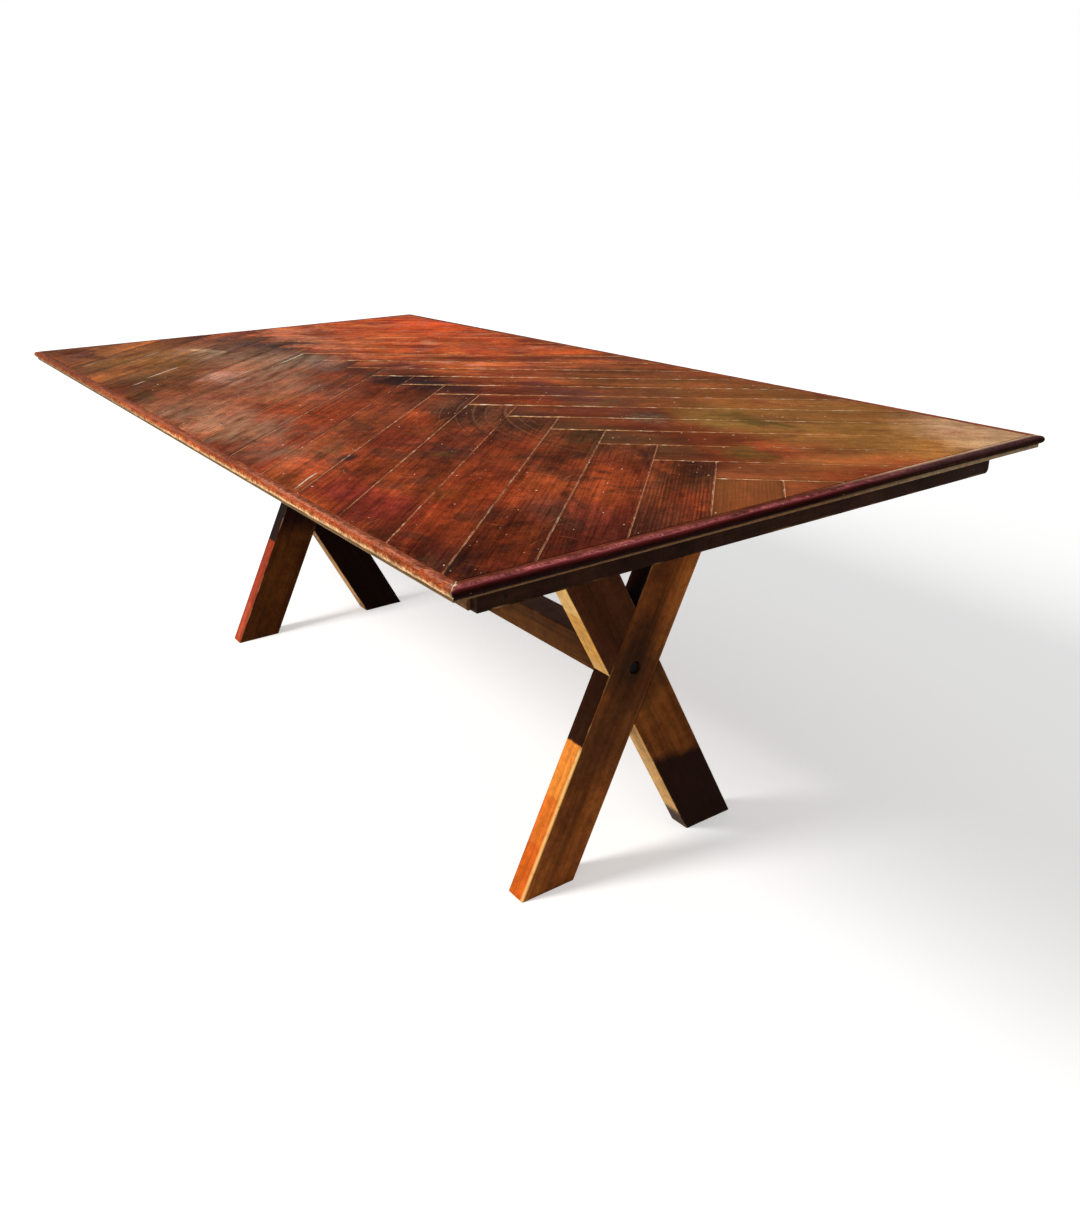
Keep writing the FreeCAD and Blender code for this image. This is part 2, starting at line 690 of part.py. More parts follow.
def make_crossing_hardware():
    bolts, washers, nuts = [], [], []
    seat = f"({LEG_OUTER_FACE} - dims.counterbore_depth)"
    under_head = f"({seat} + dims.crossing_washer_thickness)"
    nut_centre = f"({LEG_INNER_FACE} - dims.barrel_nut_inset)"
    length = f"({under_head} - {nut_centre} + dims.bolt_end_past_nut)"
    height = "dims.crossing_height"
    for end, sign, turn in end_turns():
        bolt = hex_bolt(f"{end}_crossing_bolt", "dims.crossing_bolt_diameter", length,
                        "dims.crossing_head_flats", "dims.crossing_head_height")
        place(bolt, x=f"{sign} * {under_head}", z=height, rotation=turn)
        bolts.append(bolt)
        washer = ring(f"{end}_crossing_washer", "dims.crossing_washer_diameter",
                      CROSSING_HOLE, "dims.crossing_washer_thickness")
        place(washer, x=f"{sign} * {under_head}", z=height, rotation=turn)
        washers.append(washer)
        pin = cylinder(f"{end}_barrel_pin", "dims.barrel_nut_diameter / 2", "dims.barrel_nut_length",
                       "-dims.barrel_nut_length / 2")
        bore = cylinder(f"{end}_barrel_bore", f"{CROSSING_HOLE} / 2", "dims.barrel_nut_diameter")
        place(bore, x="-dims.barrel_nut_diameter / 2", rotation=ALONG_X)
        nut = join(f"{end}_barrel_nut", "Part::Cut", pin, bore)
        place(nut, x=f"{sign} * {nut_centre}", z=height)
        nuts.append(nut)
    group("crossing_bolts", bolts)
    group("crossing_washers", washers)
    group("barrel_nuts", nuts)


def make_leg_bolts():
    bolts, washers, nuts = [], [], []
    under_head = f"({LEG_OUTER_FACE} + dims.leg_washer_thickness)"
    nut_seat = f"({BATTEN_INNER_FACE} - dims.leg_washer_thickness)"
    length = f"({under_head} - {nut_seat} + dims.leg_nut_height + dims.leg_bolt_end)"
    for end, sign, turn in end_turns():
        for side, side_name in ((-1, "left"), (1, "right")):
            spot = {"y": f"{side} * {LEG_BOLT_SIDE}", "z": LEG_BOLT_HEIGHT, "rotation": turn}
            name = f"{end}_{side_name}_leg"
            bolt = hex_bolt(name + "_bolt", "dims.leg_bolt_diameter", length,
                            "dims.leg_head_flats", "dims.leg_head_height")
            place(bolt, x=f"{sign} * {under_head}", **spot)
            bolts.append(bolt)
            for place_name, x in (("head", under_head), ("nut", BATTEN_INNER_FACE)):
                washer = ring(f"{name}_washer_{place_name}", "dims.leg_washer_diameter",
                              LEG_BOLT_HOLE, "dims.leg_washer_thickness")
                place(washer, x=f"{sign} * {x}", **spot)
                washers.append(washer)
            nut = hex_nut(name + "_nut", "dims.leg_head_flats", LEG_BOLT_HOLE, "dims.leg_nut_height")
            place(nut, x=f"{sign} * {nut_seat}", **spot)
            nuts.append(nut)
    group("leg_bolts", bolts)
    group("leg_bolt_washers", washers)
    group("leg_bolt_nuts", nuts)


def make_panel_screws():
    screws = []
    for number, (x, y) in enumerate(all_screw_centres(), start=1):
        screw = countersunk_screw(f"panel_screw_{number:02d}")
        place(screw, x, y, BOARD_BOTTOM)
        screws.append(screw)
    group("panel_screws", screws)


def make_apron_nails():
    nails = []
    for end, sign, turn in end_turns():
        for side in (-1, 1):
            for spread in NAIL_SPREADS:
                name = f"{end}_apron_nail_{len(nails) + 1}"
                shank = cylinder(name + "_shank", "dims.nail_diameter / 2", "dims.nail_length")
                head = cylinder(name + "_head", "dims.nail_head_diameter / 2", "dims.nail_head_height")
                nail = join(name, "Part::Fuse", shank, head)
                place(nail, f"{sign} * {APRON_OUTER}", f"{side} * {RAIL_MIDDLE}",
                      f"{FRAME_MIDDLE} + {spread}", turn)
                nails.append(nail)
    group("apron_nails", nails)


# ---------------------------------------------------------------- the whole table

make_boards()
make_nosings()
make_panel()
make_rail("left_rail", -1)
make_rail("right_rail", 1)
make_apron("front_apron", Rotation())
make_apron("back_apron", HALF_TURN)
make_centre_batten()
for trestle, trestle_sign, trestle_turn in (("front", 1, Rotation()), ("back", -1, HALF_TURN)):
    make_leg(f"{trestle}_outer_lap_leg", 1, trestle_turn, trestle_sign)
    make_leg(f"{trestle}_inner_lap_leg", -1, trestle_turn, trestle_sign)
    make_trestle_batten(f"{trestle}_trestle_batten", trestle_turn)
make_stretcher()
make_crossing_hardware()
make_leg_bolts()
make_panel_screws()
make_apron_nails()
doc.recompute()

# ---------------------------------------------------------------- check and write

for obj in doc.Objects:
    if "Invalid" in obj.State or "Error" in obj.State:
        raise RuntimeError(f"{obj.Name} did not compute: {obj.State}")

os.makedirs("parts", exist_ok=True)
for part in parts:
    shape = part.Shape
    if shape.isNull() or not shape.isValid() or not shape.Solids:
        raise RuntimeError(f"{part.Label} has no valid solid")
    shape.exportStep(f"parts/{part.Label}.step")
    print(f"{part.Label}: {len(shape.Solids)} solid(s), {shape.Volume / 1000:.1f} cm3")
print(f"{len(parts)} nodes")
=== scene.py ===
import math

import bmesh
import bpy
from mathutils import Matrix, Vector, noise


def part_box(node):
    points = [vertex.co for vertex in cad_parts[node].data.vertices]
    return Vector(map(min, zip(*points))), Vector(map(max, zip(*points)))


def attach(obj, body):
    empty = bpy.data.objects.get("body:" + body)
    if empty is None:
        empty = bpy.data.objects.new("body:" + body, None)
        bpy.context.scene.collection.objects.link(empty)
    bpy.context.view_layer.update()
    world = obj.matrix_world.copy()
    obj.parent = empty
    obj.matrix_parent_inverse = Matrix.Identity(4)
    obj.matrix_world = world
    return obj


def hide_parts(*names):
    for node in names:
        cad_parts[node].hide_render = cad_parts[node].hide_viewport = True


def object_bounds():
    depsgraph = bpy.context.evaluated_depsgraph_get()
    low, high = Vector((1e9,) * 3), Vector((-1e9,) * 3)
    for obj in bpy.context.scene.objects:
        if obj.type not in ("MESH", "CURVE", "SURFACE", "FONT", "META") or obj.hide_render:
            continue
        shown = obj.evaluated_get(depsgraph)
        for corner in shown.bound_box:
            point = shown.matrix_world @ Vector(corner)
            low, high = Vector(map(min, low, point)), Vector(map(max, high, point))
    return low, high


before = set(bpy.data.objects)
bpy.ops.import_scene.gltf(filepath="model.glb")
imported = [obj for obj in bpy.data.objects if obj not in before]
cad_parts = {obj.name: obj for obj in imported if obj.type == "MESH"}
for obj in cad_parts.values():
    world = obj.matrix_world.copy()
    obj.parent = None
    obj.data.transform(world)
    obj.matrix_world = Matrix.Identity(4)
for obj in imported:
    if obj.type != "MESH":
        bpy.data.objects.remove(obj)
cad_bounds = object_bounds()

# Sawbuck table, dressed.  Metres, +Z up, origin on the floor under the middle of the top;
# +X is the front end, -Y the left side.

# ------------ sizes taken from the frame

HALF_LENGTH = cad_bounds[1].x
HALF_WIDTH = cad_bounds[1].y
TOP = cad_bounds[1].z
PANEL_LOW, PANEL_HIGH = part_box("backing_panel")
NOSING_WIDTH = HALF_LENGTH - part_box("nosing_front")[0].x
BOARD_THICKNESS = TOP - PANEL_HIGH.z
STRETCHER_LOW, STRETCHER_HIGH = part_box("stretcher")
CROSSING_HEIGHT = (STRETCHER_LOW.z + STRETCHER_HIGH.z) / 2

# herringbone layout: the pitch of the boards and the first outer node of the spine
BOARD_PITCH = 0.0944
SPINE_INSET = 0.058
SPINE_START = HALF_LENGTH - NOSING_WIDTH - SPINE_INSET
SWING = BOARD_PITCH / math.sqrt(2)
DIAGONAL = 1 / math.sqrt(2)

# legs
LEG_LEAN = math.radians(26.6)
LEG_WIDTH = 0.099
LEG_THICKNESS = 0.044

# Specular levels, where 0.5 is usual.  The real top is glossy, but at this low angle it would
# mirror the white backdrop and wash the colour out, so the glints are in the colour instead.
TOP_GLOSS = 0.0004
TIMBER_GLOSS = 0.015
PANEL_GLOSS = 0.05


# ------------ node graphs


class Graph:
    """The node tree of a material or of the world.  Each call adds a node, returns its output."""

    def __init__(self, owner):
        self.owner = owner
        owner.use_nodes = True
        self.tree = owner.node_tree
        self.colour = None
        self.point = self.node("ShaderNodeTexCoord").outputs["Object"]
        self.x, self.y, self.z = self.node("ShaderNodeSeparateXYZ", [self.point]).outputs

    def node(self, kind, values=(), **settings):
        """A new node; the values go into its first inputs."""
        made = self.tree.nodes.new(kind)
        for key, value in settings.items():
            setattr(made, key, value)
        for socket, value in zip(made.inputs, values):
            self.feed(socket, value)
        return made

    def feed(self, socket, value):
        """Link a socket, or set a plain number or colour."""
        if isinstance(value, bpy.types.NodeSocket):
            self.tree.links.new(value, socket)
        elif socket.type == "RGBA" and len(value) == 3:
            socket.default_value = (*value, 1.0)
        else:
            socket.default_value = value

    def math(self, operation, a, b=0.0):
        return self.node("ShaderNodeMath", (a, b), operation=operation).outputs[0]

    def add(self, a, b):
        return self.math("ADD", a, b)

    def sub(self, a, b):
        return self.math("SUBTRACT", a, b)

    def mul(self, a, b):
        return self.math("MULTIPLY", a, b)

    def size(self, a):
        """A number without its sign."""
        return self.math("ABSOLUTE", a)

    def lesser(self, a, b):
        return self.math("MINIMUM", a, b)

    def greater(self, a, b):
        return self.math("MAXIMUM", a, b)

    def product(self, value, *others):
        """All the values multiplied together."""
        for other in others:
            value = self.mul(value, other)
        return value

    def sway(self, value, reach):
        """A noise value as a shift of at most half the reach either way."""
        return self.mul(self.sub(value, 0.5), reach)

    def span(self, value, low, high, to_low=0.0, to_high=1.0):
        """Smooth step of a value from low..high to to_low..to_high, clamped."""
        values = (value, low, high, to_low, to_high)
        return self.node("ShaderNodeMapRange", values, interpolation_type="SMOOTHSTEP").outputs[0]

    def vector(self, x, y, z=0.0):
        return self.node("ShaderNodeCombineXYZ", (x, y, z)).outputs[0]

    def length(self, vector):
        return self.node("ShaderNodeVectorMath", [vector], operation="LENGTH").outputs["Value"]

    def fill(self, made, **values):
        """Feed a node's inputs by their names."""
        for name, value in values.items():
            self.feed(made.inputs[name], value)
        return made.outputs

    def noise(self, at, scale, detail=2.0, roughness=0.5, distortion=0.0):
        made = self.node("ShaderNodeTexNoise")
        shape = {"Detail": detail, "Roughness": roughness, "Distortion": distortion}
        return self.fill(made, Vector=at, Scale=scale, **shape)["Fac"]

    def cells(self, at, scale):
        """Distance to the nearest seed of a cell pattern, and a random number for each cell."""
        made = self.fill(self.node("ShaderNodeTexVoronoi"), Vector=at, Scale=scale)
        random = self.node("ShaderNodeSeparateColor", [made["Color"]])
        return made["Distance"], random.outputs[0]

    def scatter(self, value):
        """Three random numbers that depend only on a value."""
        made = self.fill(self.node("ShaderNodeTexWhiteNoise", noise_dimensions="1D"), W=value)
        return self.node("ShaderNodeSeparateColor", [made["Color"]]).outputs

    def mix(self, factor, a, b, blend="MIX"):
        made = self.node("ShaderNodeMix", data_type="RGBA", blend_type=blend)
        self.feed(made.inputs["Factor"], factor)
        self.feed(made.inputs[6], a)
        self.feed(made.inputs[7], b)
        return made.outputs[2]

    def coat(self, tone, *masks):
        """Turn the colour so far to a tone, as far as the product of the masks says."""
        self.colour = self.mix(self.product(*masks), self.colour, tone)

    def shade(self, factor):
        """Make the colour so far lighter or darker by a factor."""
        self.colour = self.mix(1.0, self.colour, self.vector(factor, factor, factor), "MULTIPLY")

    def choose(self, factor, a, b):
        """Number a where the factor is 0 and b where it is 1."""
        made = self.node("ShaderNodeMix", data_type="FLOAT")
        self.feed(made.inputs[0], factor)
        self.feed(made.inputs[2], a)
        self.feed(made.inputs[3], b)
        return made.outputs[0]

    def ramp(self, factor, stops):
        made = self.node("ShaderNodeValToRGB")
        elements = made.color_ramp.elements
        while len(elements) < len(stops):
            elements.new(0.5)
        for element, (position, colour) in zip(elements, stops):
            element.position = position
            element.color = (*colour, 1.0)
        self.feed(made.inputs[0], factor)
        return made.outputs[0]

    def bump(self, height, distance, strength=1.0):
        made = self.node("ShaderNodeBump")
        return self.fill(made, Strength=strength, Distance=distance, Height=height)["Normal"]

    def finish(self, roughness, normal=None, gloss=0.5, metallic=0.0):
        """Feed the shader with the colour so far and the rest."""
        inputs = self.tree.nodes["Principled BSDF"].inputs
        self.feed(inputs["Base Color"], self.colour)
        self.feed(inputs["Roughness"], roughness)
        self.feed(inputs["Specular IOR Level"], gloss)
        self.feed(inputs["Metallic"], metallic)
        if normal is not None:
            self.feed(inputs["Normal"], normal)
        return self.owner


# ------------ shared wood figure


def streaks(g, along, across, depth, along_scale, across_scale, shift=0.0, detail=2.0):
    """Noise drawn out along the grain."""
    first = g.add(g.mul(along, along_scale), shift)
    at = g.vector(first, g.mul(across, across_scale), g.mul(depth, across_scale))
    return g.noise(at, 1.0, detail=detail, distortion=0.35)


def spread(g, u, v, u_scale, v_scale, third, detail, roughness=0.5, distortion=0.0):
    """Noise over two coordinates, each with its own scale, at a third coordinate."""
    at = g.vector(g.mul(u, u_scale), g.mul(v, v_scale), third)
    return g.noise(at, 1.0, detail, roughness, distortion)


def pale_specks(g, at, scale, size, share):
    """Sparse small dots, where the finish is chipped or splashed."""
    distance, chance = g.cells(at, scale)
    dot = g.span(distance, size, size * 0.55)
    return g.mul(dot, g.math("LESS_THAN", chance, share))


def soft_patch(g, x, y, centre, radii):
    """1 at the centre of an ellipse, fading to 0 at its outline."""
    dx = g.mul(g.sub(x, centre[0]), 1.0 / radii[0])
    dy = g.mul(g.sub(y, centre[1]), 1.0 / radii[1])
    return g.span(g.length(g.vector(dx, dy)), 1.0, 0.15)


# ------------ herringbone boards

BOARD_TONES = [
    (0.26, (0.06, 0.012, 0.007)),
    (0.44, (0.155, 0.029, 0.01)),
    (0.58, (0.245, 0.043, 0.012)),
    (0.76, (0.42, 0.082, 0.016)),
]

# Stains in the finish, and one painted highlight (marked): centre, radii, colour and strength, laid one
# over the other.
STAINS = [
    ((0.55, 0.4), (0.8, 0.36), (0.205, 0.072, 0.018), 0.88),
    ((0.88, 0.4), (0.42, 0.28), (0.37, 0.165, 0.038), 0.8),
    ((0.66, 0.26), (0.2, 0.1), (0.33, 0.16, 0.036), 0.75),
    # a painted highlight at the right front corner, not a stain
    ((1.02, 0.5), (0.24, 0.15), (0.72, 0.44, 0.24), 0.75),
    ((-0.62, 0.34), (0.66, 0.4), (0.6, 0.09, 0.016), 0.9),
    ((-0.8, 0.46), (0.34, 0.16), (0.8, 0.08, 0.009), 0.8),
    ((-0.14, 0.46), (0.14, 0.07), (0.82, 0.12, 0.018), 0.7),
    ((-0.1, 0.2), (0.34, 0.18), (0.3, 0.062, 0.016), 0.65),
    ((-0.93, 0.39), (0.07, 0.07), (0.28, 0.018, 0.012), 0.85),
    ((-0.95, 0.22), (0.08, 0.05), (0.72, 0.17, 0.022), 0.7),
    ((-0.66, 0.16), (0.12, 0.07), (0.76, 0.2, 0.06), 0.7),
    ((-0.49, 0.3), (0.07, 0.05), (0.62, 0.23, 0.11), 0.7),
    ((-0.43, 0.26), (0.08, 0.05), (0.15, 0.02, 0.012), 0.75),
    ((-0.8, 0.07), (0.4, 0.09), (0.72, 0.21, 0.095), 0.8),
    ((-0.7, -0.36), (0.6, 0.32), (0.235, 0.095, 0.026), 0.92),
    ((-0.98, -0.3), (0.16, 0.16), (0.3, 0.085, 0.02), 0.6),
    ((-0.92, -0.46), (0.14, 0.04), (0.06, 0.018, 0.01), 0.9),
    ((-0.41, -0.45), (0.12, 0.055), (0.095, 0.055, 0.022), 0.7),
    ((-0.24, -0.28), (0.42, 0.24), (0.31, 0.092, 0.042), 0.6),
    ((-0.22, -0.4), (0.2, 0.1), (0.15, 0.05, 0.022), 0.6),
    ((-0.25, -0.49), (0.22, 0.04), (0.08, 0.036, 0.014), 0.8),
    ((-0.6, -0.12), (0.48, 0.2), (0.19, 0.088, 0.05), 0.88),
    ((-0.36, -0.3), (0.12, 0.07), (0.42, 0.2, 0.14), 0.75),
    ((-0.05, -0.4), (0.1, 0.05), (0.12, 0.03, 0.012), 0.7),
    ((-0.4, -0.05), (0.22, 0.07), (0.17, 0.11, 0.085), 0.75),
    ((-0.74, -0.04), (0.14, 0.08), (0.06, 0.028, 0.024), 0.85),
    ((-0.74, -0.19), (0.07, 0.04), (0.47, 0.3, 0.16), 0.8),
    ((0.04, -0.45), (0.34, 0.12), (0.48, 0.18, 0.085), 0.75),
    ((0.6, -0.01), (0.36, 0.13), (0.105, 0.052, 0.02), 0.75),
    ((0.3, -0.06), (0.26, 0.12), (0.08, 0.036, 0.018), 0.8),
    ((0.02, 0.0), (0.34, 0.09), (0.045, 0.014, 0.012), 0.9),
    ((-0.08, -0.01), (0.13, 0.08), (0.028, 0.01, 0.01), 0.9),
    ((-0.21, 0.08), (0.14, 0.05), (0.11, 0.018, 0.012), 0.75),
    ((0.19, 0.18), (0.13, 0.05), (0.11, 0.03, 0.026), 0.65),
    ((0.4, 0.15), (0.28, 0.09), (0.105, 0.032, 0.022), 0.75),
    ((0.53, 0.14), (0.11, 0.05), (0.1, 0.072, 0.04), 0.55),
    ((0.84, -0.17), (0.17, 0.18), (0.48, 0.095, 0.026), 0.85),
    ((0.4, -0.29), (0.2, 0.12), (0.165, 0.024, 0.009), 0.8),
    ((0.77, -0.33), (0.14, 0.08), (0.4, 0.06, 0.014), 0.7),
    ((0.53, -0.245), (0.09, 0.06), (0.05, 0.014, 0.012), 0.75),
    ((0.7, -0.47), (0.2, 0.09), (0.19, 0.022, 0.014), 0.8),
    ((0.93, -0.3), (0.12, 0.09), (0.11, 0.03, 0.02), 0.75),
    ((1.02, -0.3), (0.06, 0.24), (0.09, 0.018, 0.014), 0.65),
    ((0.97, 0.0), (0.12, 0.2), (0.27, 0.085, 0.028), 0.65),
    ((0.86, 0.1), (0.13, 0.05), (0.12, 0.062, 0.014), 0.8),
    ((0.69, 0.3), (0.1, 0.04), (0.105, 0.066, 0.013), 0.7),
    ((0.98, 0.16), (0.08, 0.1), (0.33, 0.12, 0.03), 0.65),
    ((-0.98, -0.48), (0.2, 0.06), (0.12, 0.03, 0.012), 0.75),
    ((1.0, -0.51), (0.22, 0.12), (0.022, 0.009, 0.007), 0.92),
]

# Lighter and darker areas of the top, partly the finish's own tone and partly painted light and shade:
# centre, radii and factor.
SHADES = [
    ((-0.08, 0.03), (0.3, 0.15), 0.55),
    ((0.1, -0.09), (0.26, 0.1), 0.62),
    ((0.42, -0.09), (0.22, 0.06), 0.92),
    ((0.16, -0.15), (0.09, 0.05), 1.35),
    ((0.02, -0.27), (0.16, 0.1), 1.55),
    ((0.16, 0.34), (0.17, 0.13), 0.62),
    ((-0.28, 0.22), (0.2, 0.12), 0.66),
    ((-0.3, 0.03), (0.16, 0.08), 0.75),
    ((-0.48, 0.28), (0.14, 0.09), 1.4),
    ((0.35, 0.23), (0.14, 0.08), 1.25),
    ((-0.31, -0.35), (0.14, 0.1), 0.7),
    ((-0.08, -0.47), (0.22, 0.09), 0.46),
    ((-0.18, -0.22), (0.18, 0.1), 0.82),
    ((0.5, -0.02), (0.3, 0.09), 0.85),
    ((0.94, 0.25), (0.1, 0.12), 0.8),
    ((0.4, -0.46), (0.2, 0.1), 1.5),
    ((0.95, -0.18), (0.16, 0.16), 1.5),
    ((0.64, -0.44), (0.14, 0.08), 1.3),
    ((0.8, -0.25), (0.1, 0.08), 0.75),
    ((0.95, -0.38), (0.14, 0.1), 0.62),
    ((0.9, 0.2), (0.24, 0.18), 1.4),
    ((0.52, 0.38), (0.28, 0.12), 1.4),
    ((1.02, 0.3), (0.14, 0.22), 1.5),
    ((1.0, 0.0), (0.1, 0.14), 1.35),
    ((0.6, -0.08), (0.12, 0.08), 1.2),
    ((-0.6, 0.08), (0.26, 0.08), 0.72),
    ((-0.66, -0.15), (0.13, 0.09), 0.7),
    ((-0.82, 0.15), (0.14, 0.09), 0.78),
    ((-0.34, 0.45), (0.2, 0.08), 1.45),
]

# Knots: centre, half length along the board, half width and colour.
KNOTS = [
    ((0.473, -0.389), (0.042, 0.026), (0.09, 0.014, 0.008)),
    ((0.473, -0.389), (0.03, 0.018), (0.016, 0.006, 0.005)),
    ((0.687, -0.103), (0.04, 0.024), (0.05, 0.017, 0.01)),
]

# Long pale scratches along the left boards: start, length and half width.
SCRATCHES = [
    ((-0.55, -0.02), 0.17, 0.003),
    ((-0.56, -0.33), 0.15, 0.0026),
    ((-0.83, -0.29), 0.09, 0.0022),
    ((0.52, -0.46), 0.1, 0.0022),
    ((-0.43, -0.44), 0.06, 0.002),
]

# Saw marks that cross the left boards: the centre of the saw, and the radii they lie between.
SAW_CENTRE = (0.56, 0.3)
SAW_INNER = 0.33
SAW_OUTER = 0.56

# Painted sheen of reflected light on the left boards: centre, radii and strength.
SHEEN_PATCHES = [
    ((0.16, -0.44), (0.42, 0.13), 1.0),
    ((-0.22, -0.25), (0.32, 0.15), 0.8),
    ((-0.72, -0.22), (0.16, 0.08), 1.4),
    ((-0.42, -0.12), (0.28, 0.17), 1.0),
]

# The reeds planed into the front boards on the left, and the ripple along them.
REED_PITCH = 0.0052
RIPPLE_PITCH = 0.0075

# Added to the numbers of the right bank's boards and seams, so that they differ from the left's.
RIGHT_BOARDS = 50.5
RIGHT_SEAMS = 80.5

# Fine hair lines: their direction, and the slice of the noise they are taken from.
HAIR_LINES = [(0.5, 3.0), (-1.1, 11.0)]

PALE_CHIP = (0.92, 0.7, 0.48)
PALE_SCRATCH = (0.76, 0.62, 0.48)


def on_left_boards(place):
    """A place on the top as its distances along and across the left boards."""
    return (place[0] - place[1]) * DIAGONAL, (place[0] + place[1]) * DIAGONAL


class TopFigure:
    """Where a point of the top lies in the herringbone, and the wood's figure there."""

    def __init__(self, g):
        self.find_board(g)
        self.find_grain(g)
        self.find_reeds(g)

    def find_board(self, g):
        """The board's bank and number, its seams' numbers, and the distances from its edges."""
        total = g.add(g.x, g.y)
        difference = g.sub(g.x, g.y)
        spacing = 2 * SWING
        left_strip = g.mul(g.sub(total, SPINE_START + SWING / 2), 1 / spacing)
        right_strip = g.mul(g.sub(difference, SPINE_START - SWING / 2), 1 / spacing)
        left_number = g.math("FLOOR", left_strip)
        right_number = g.math("FLOOR", right_strip)
        past_left_end = g.sub(right_strip, g.add(left_number, 1.0))
        past_right_end = g.sub(left_strip, right_number)
        self.right = g.math("LESS_THAN", past_left_end, 0.0)
        self.left = g.sub(1.0, self.right)
        self.number = g.choose(self.right, left_number, g.add(right_number, RIGHT_BOARDS))
        self.left_seam = g.math("FLOOR", g.add(left_strip, 0.5))
        self.right_seam = g.math("FLOOR", g.add(right_strip, 0.5))
        self.along = g.mul(g.choose(self.right, difference, total), DIAGONAL)
        self.across = g.mul(g.choose(self.right, total, difference), DIAGONAL)
        share = g.choose(self.right, g.math("FRACT", left_strip), g.math("FRACT", right_strip))
        self.side = g.mul(g.lesser(share, g.sub(1.0, share)), BOARD_PITCH)
        self.end = g.mul(g.choose(self.right, past_left_end, past_right_end), BOARD_PITCH)

    def find_grain(self, g):
        """The noises that several coats share, and the wandering coordinates of the stains."""
        self.tone, shift, self.figure = g.scatter(self.number)
        self.shift = g.mul(shift, 40.0)
        self.broad = self.streaks(g, 2.6, 16.0, self.shift, 4.0)
        self.medium = self.streaks(g, 5.0, 150.0, self.shift, 3.0)
        self.fine = self.streaks(g, 26.0, 620.0, self.shift, 3.0)
        self.mottle = spread(g, self.along, self.across, 5.5, 17.0, self.shift, 6.0, 0.6)
        self.grime = g.noise(g.point, 60.0, 6.0, 0.68)
        self.cloud = g.noise(g.point, 8.0, 6.0, 0.64)
        self.warp_x = g.add(g.x, g.sway(g.noise(g.point, 4.0, 7.0, 0.68), 0.34))
        self.warp_y = g.add(g.y, g.sway(g.noise(g.point, 5.3, 7.0, 0.68), 0.24))
        self.calm = g.mul(g.span(g.x, 0.1, 0.5), self.right)
        self.far_right = g.mul(g.span(g.x, 0.25, -0.3), self.right)
        contour = self.streaks(g, 0.55, 7.0, self.shift, 0.5)
        rings = g.math("FRACT", g.mul(contour, 46.0))
        self.latewood = g.mul(g.span(rings, 0.45, 0.85), g.span(rings, 1.0, 0.9))

    def find_reeds(self, g):
        """Rippled reeds across a board, and how far a point lies in the boards that have them."""
        ripple_turn = g.mul(self.along, 2 * math.pi / RIPPLE_PITCH)
        ripple = g.math("SINE", g.add(ripple_turn, g.mul(self.medium, 9.0)))
        reed_turn = g.mul(self.across, 2 * math.pi / REED_PITCH)
        self.reeds = g.math("SINE", g.add(reed_turn, g.add(g.mul(self.medium, 5.0), ripple)))
        self.foremost = g.math("GREATER_THAN", self.number, -1.5)
        front = g.mul(g.span(self.number, -3.2, -2.4), g.span(g.x, 0.8, 0.92))
        self.reeded = g.product(front, self.left, g.sub(1.0, g.mul(self.foremost, 0.7)))

    def streaks(self, g, along_scale, across_scale, shift, detail):
        return streaks(g, self.along, self.across, g.z, along_scale, across_scale, shift, detail)

    def patch(self, g, centre, radii):
        """A soft patch with a wandering outline."""
        return soft_patch(g, self.warp_x, self.warp_y, centre, radii)


# Each of these coats goes over the colour that the graph has so far.


def lay_stains(g, top):
    for centre, radii, stain, strength in STAINS:
        g.coat(stain, top.patch(g, centre, radii), strength)


def lay_clouds(g, top):
    """Olive and red clouds all over the finish."""
    hue = spread(g, g.x, g.y, 9.0, 9.0, 4.0, 6.0, 0.62)
    g.coat((0.14, 0.078, 0.016), g.span(hue, 0.54, 0.72, 0.0, 0.45))
    g.coat((0.15, 0.022, 0.018), g.span(hue, 0.46, 0.3, 0.0, 0.55))


def lay_board_hues(g, top):
    """The left boards near the front differ: some are redder and some are browner."""
    near_left = g.mul(g.span(g.x, 0.0, 0.25), top.left)
    redder = g.span(top.figure, 0.6, 1.0, 0.0, 0.45)
    browner = g.span(top.figure, 0.4, 0.0, 0.0, 0.45)
    g.coat((0.23, 0.026, 0.01), redder, near_left)
    g.coat((0.11, 0.034, 0.012), browner, near_left)


def lay_flares(g, top):
    """Bright flares along the grain, fewer beside the spine, and orange at the far right."""
    flare = spread(g, top.along, top.across, 4.2, 11.5, g.add(top.shift, 9.0), 6.0, 0.58)
    bright = g.mix(top.far_right, (0.4, 0.06, 0.016), (0.9, 0.21, 0.05))
    on_left = g.span(g.x, -0.15, 0.15, 0.08, 0.7)
    on_right = g.span(g.x, 0.35, 0.0, 0.2, 0.85)
    lively = g.choose(top.right, on_left, on_right)
    spine_shade = g.greater(top.patch(g, (0.26, -0.02), (0.56, 0.19)),
                            top.patch(g, (-0.12, 0.02), (0.3, 0.14)))
    lively = g.mul(lively, g.sub(1.0, g.mul(spine_shade, 0.85)))
    g.coat(bright, g.span(flare, 0.5, 0.7), lively)


def lay_pinks(g, top):
    """Pink and deep red clouds on the far right boards."""
    pink = spread(g, g.x, g.y, 11.0, 8.0, 17.0, 6.0, 0.66)
    g.coat((0.64, 0.24, 0.15), top.far_right, 0.6, g.span(pink, 0.54, 0.7))
    g.coat((0.3, 0.022, 0.014), top.far_right, 0.7, g.span(pink, 0.46, 0.32))


def lay_pools(g, top):
    """Pools of darker stain with crisp outlines on the left boards."""
    pool = spread(g, g.x, g.y, 7.0, 9.0, 23.0, 3.0, 0.55, 0.9)
    nearer = g.span(g.x, -0.3, 0.2, 0.15, 0.55)
    g.coat((0.06, 0.022, 0.012), g.span(pool, 0.585, 0.615), top.left, nearer)
    rim = g.mul(g.span(pool, 0.572, 0.585), g.span(pool, 0.6, 0.59))
    g.coat((0.026, 0.01, 0.008), rim, top.left, 0.3)


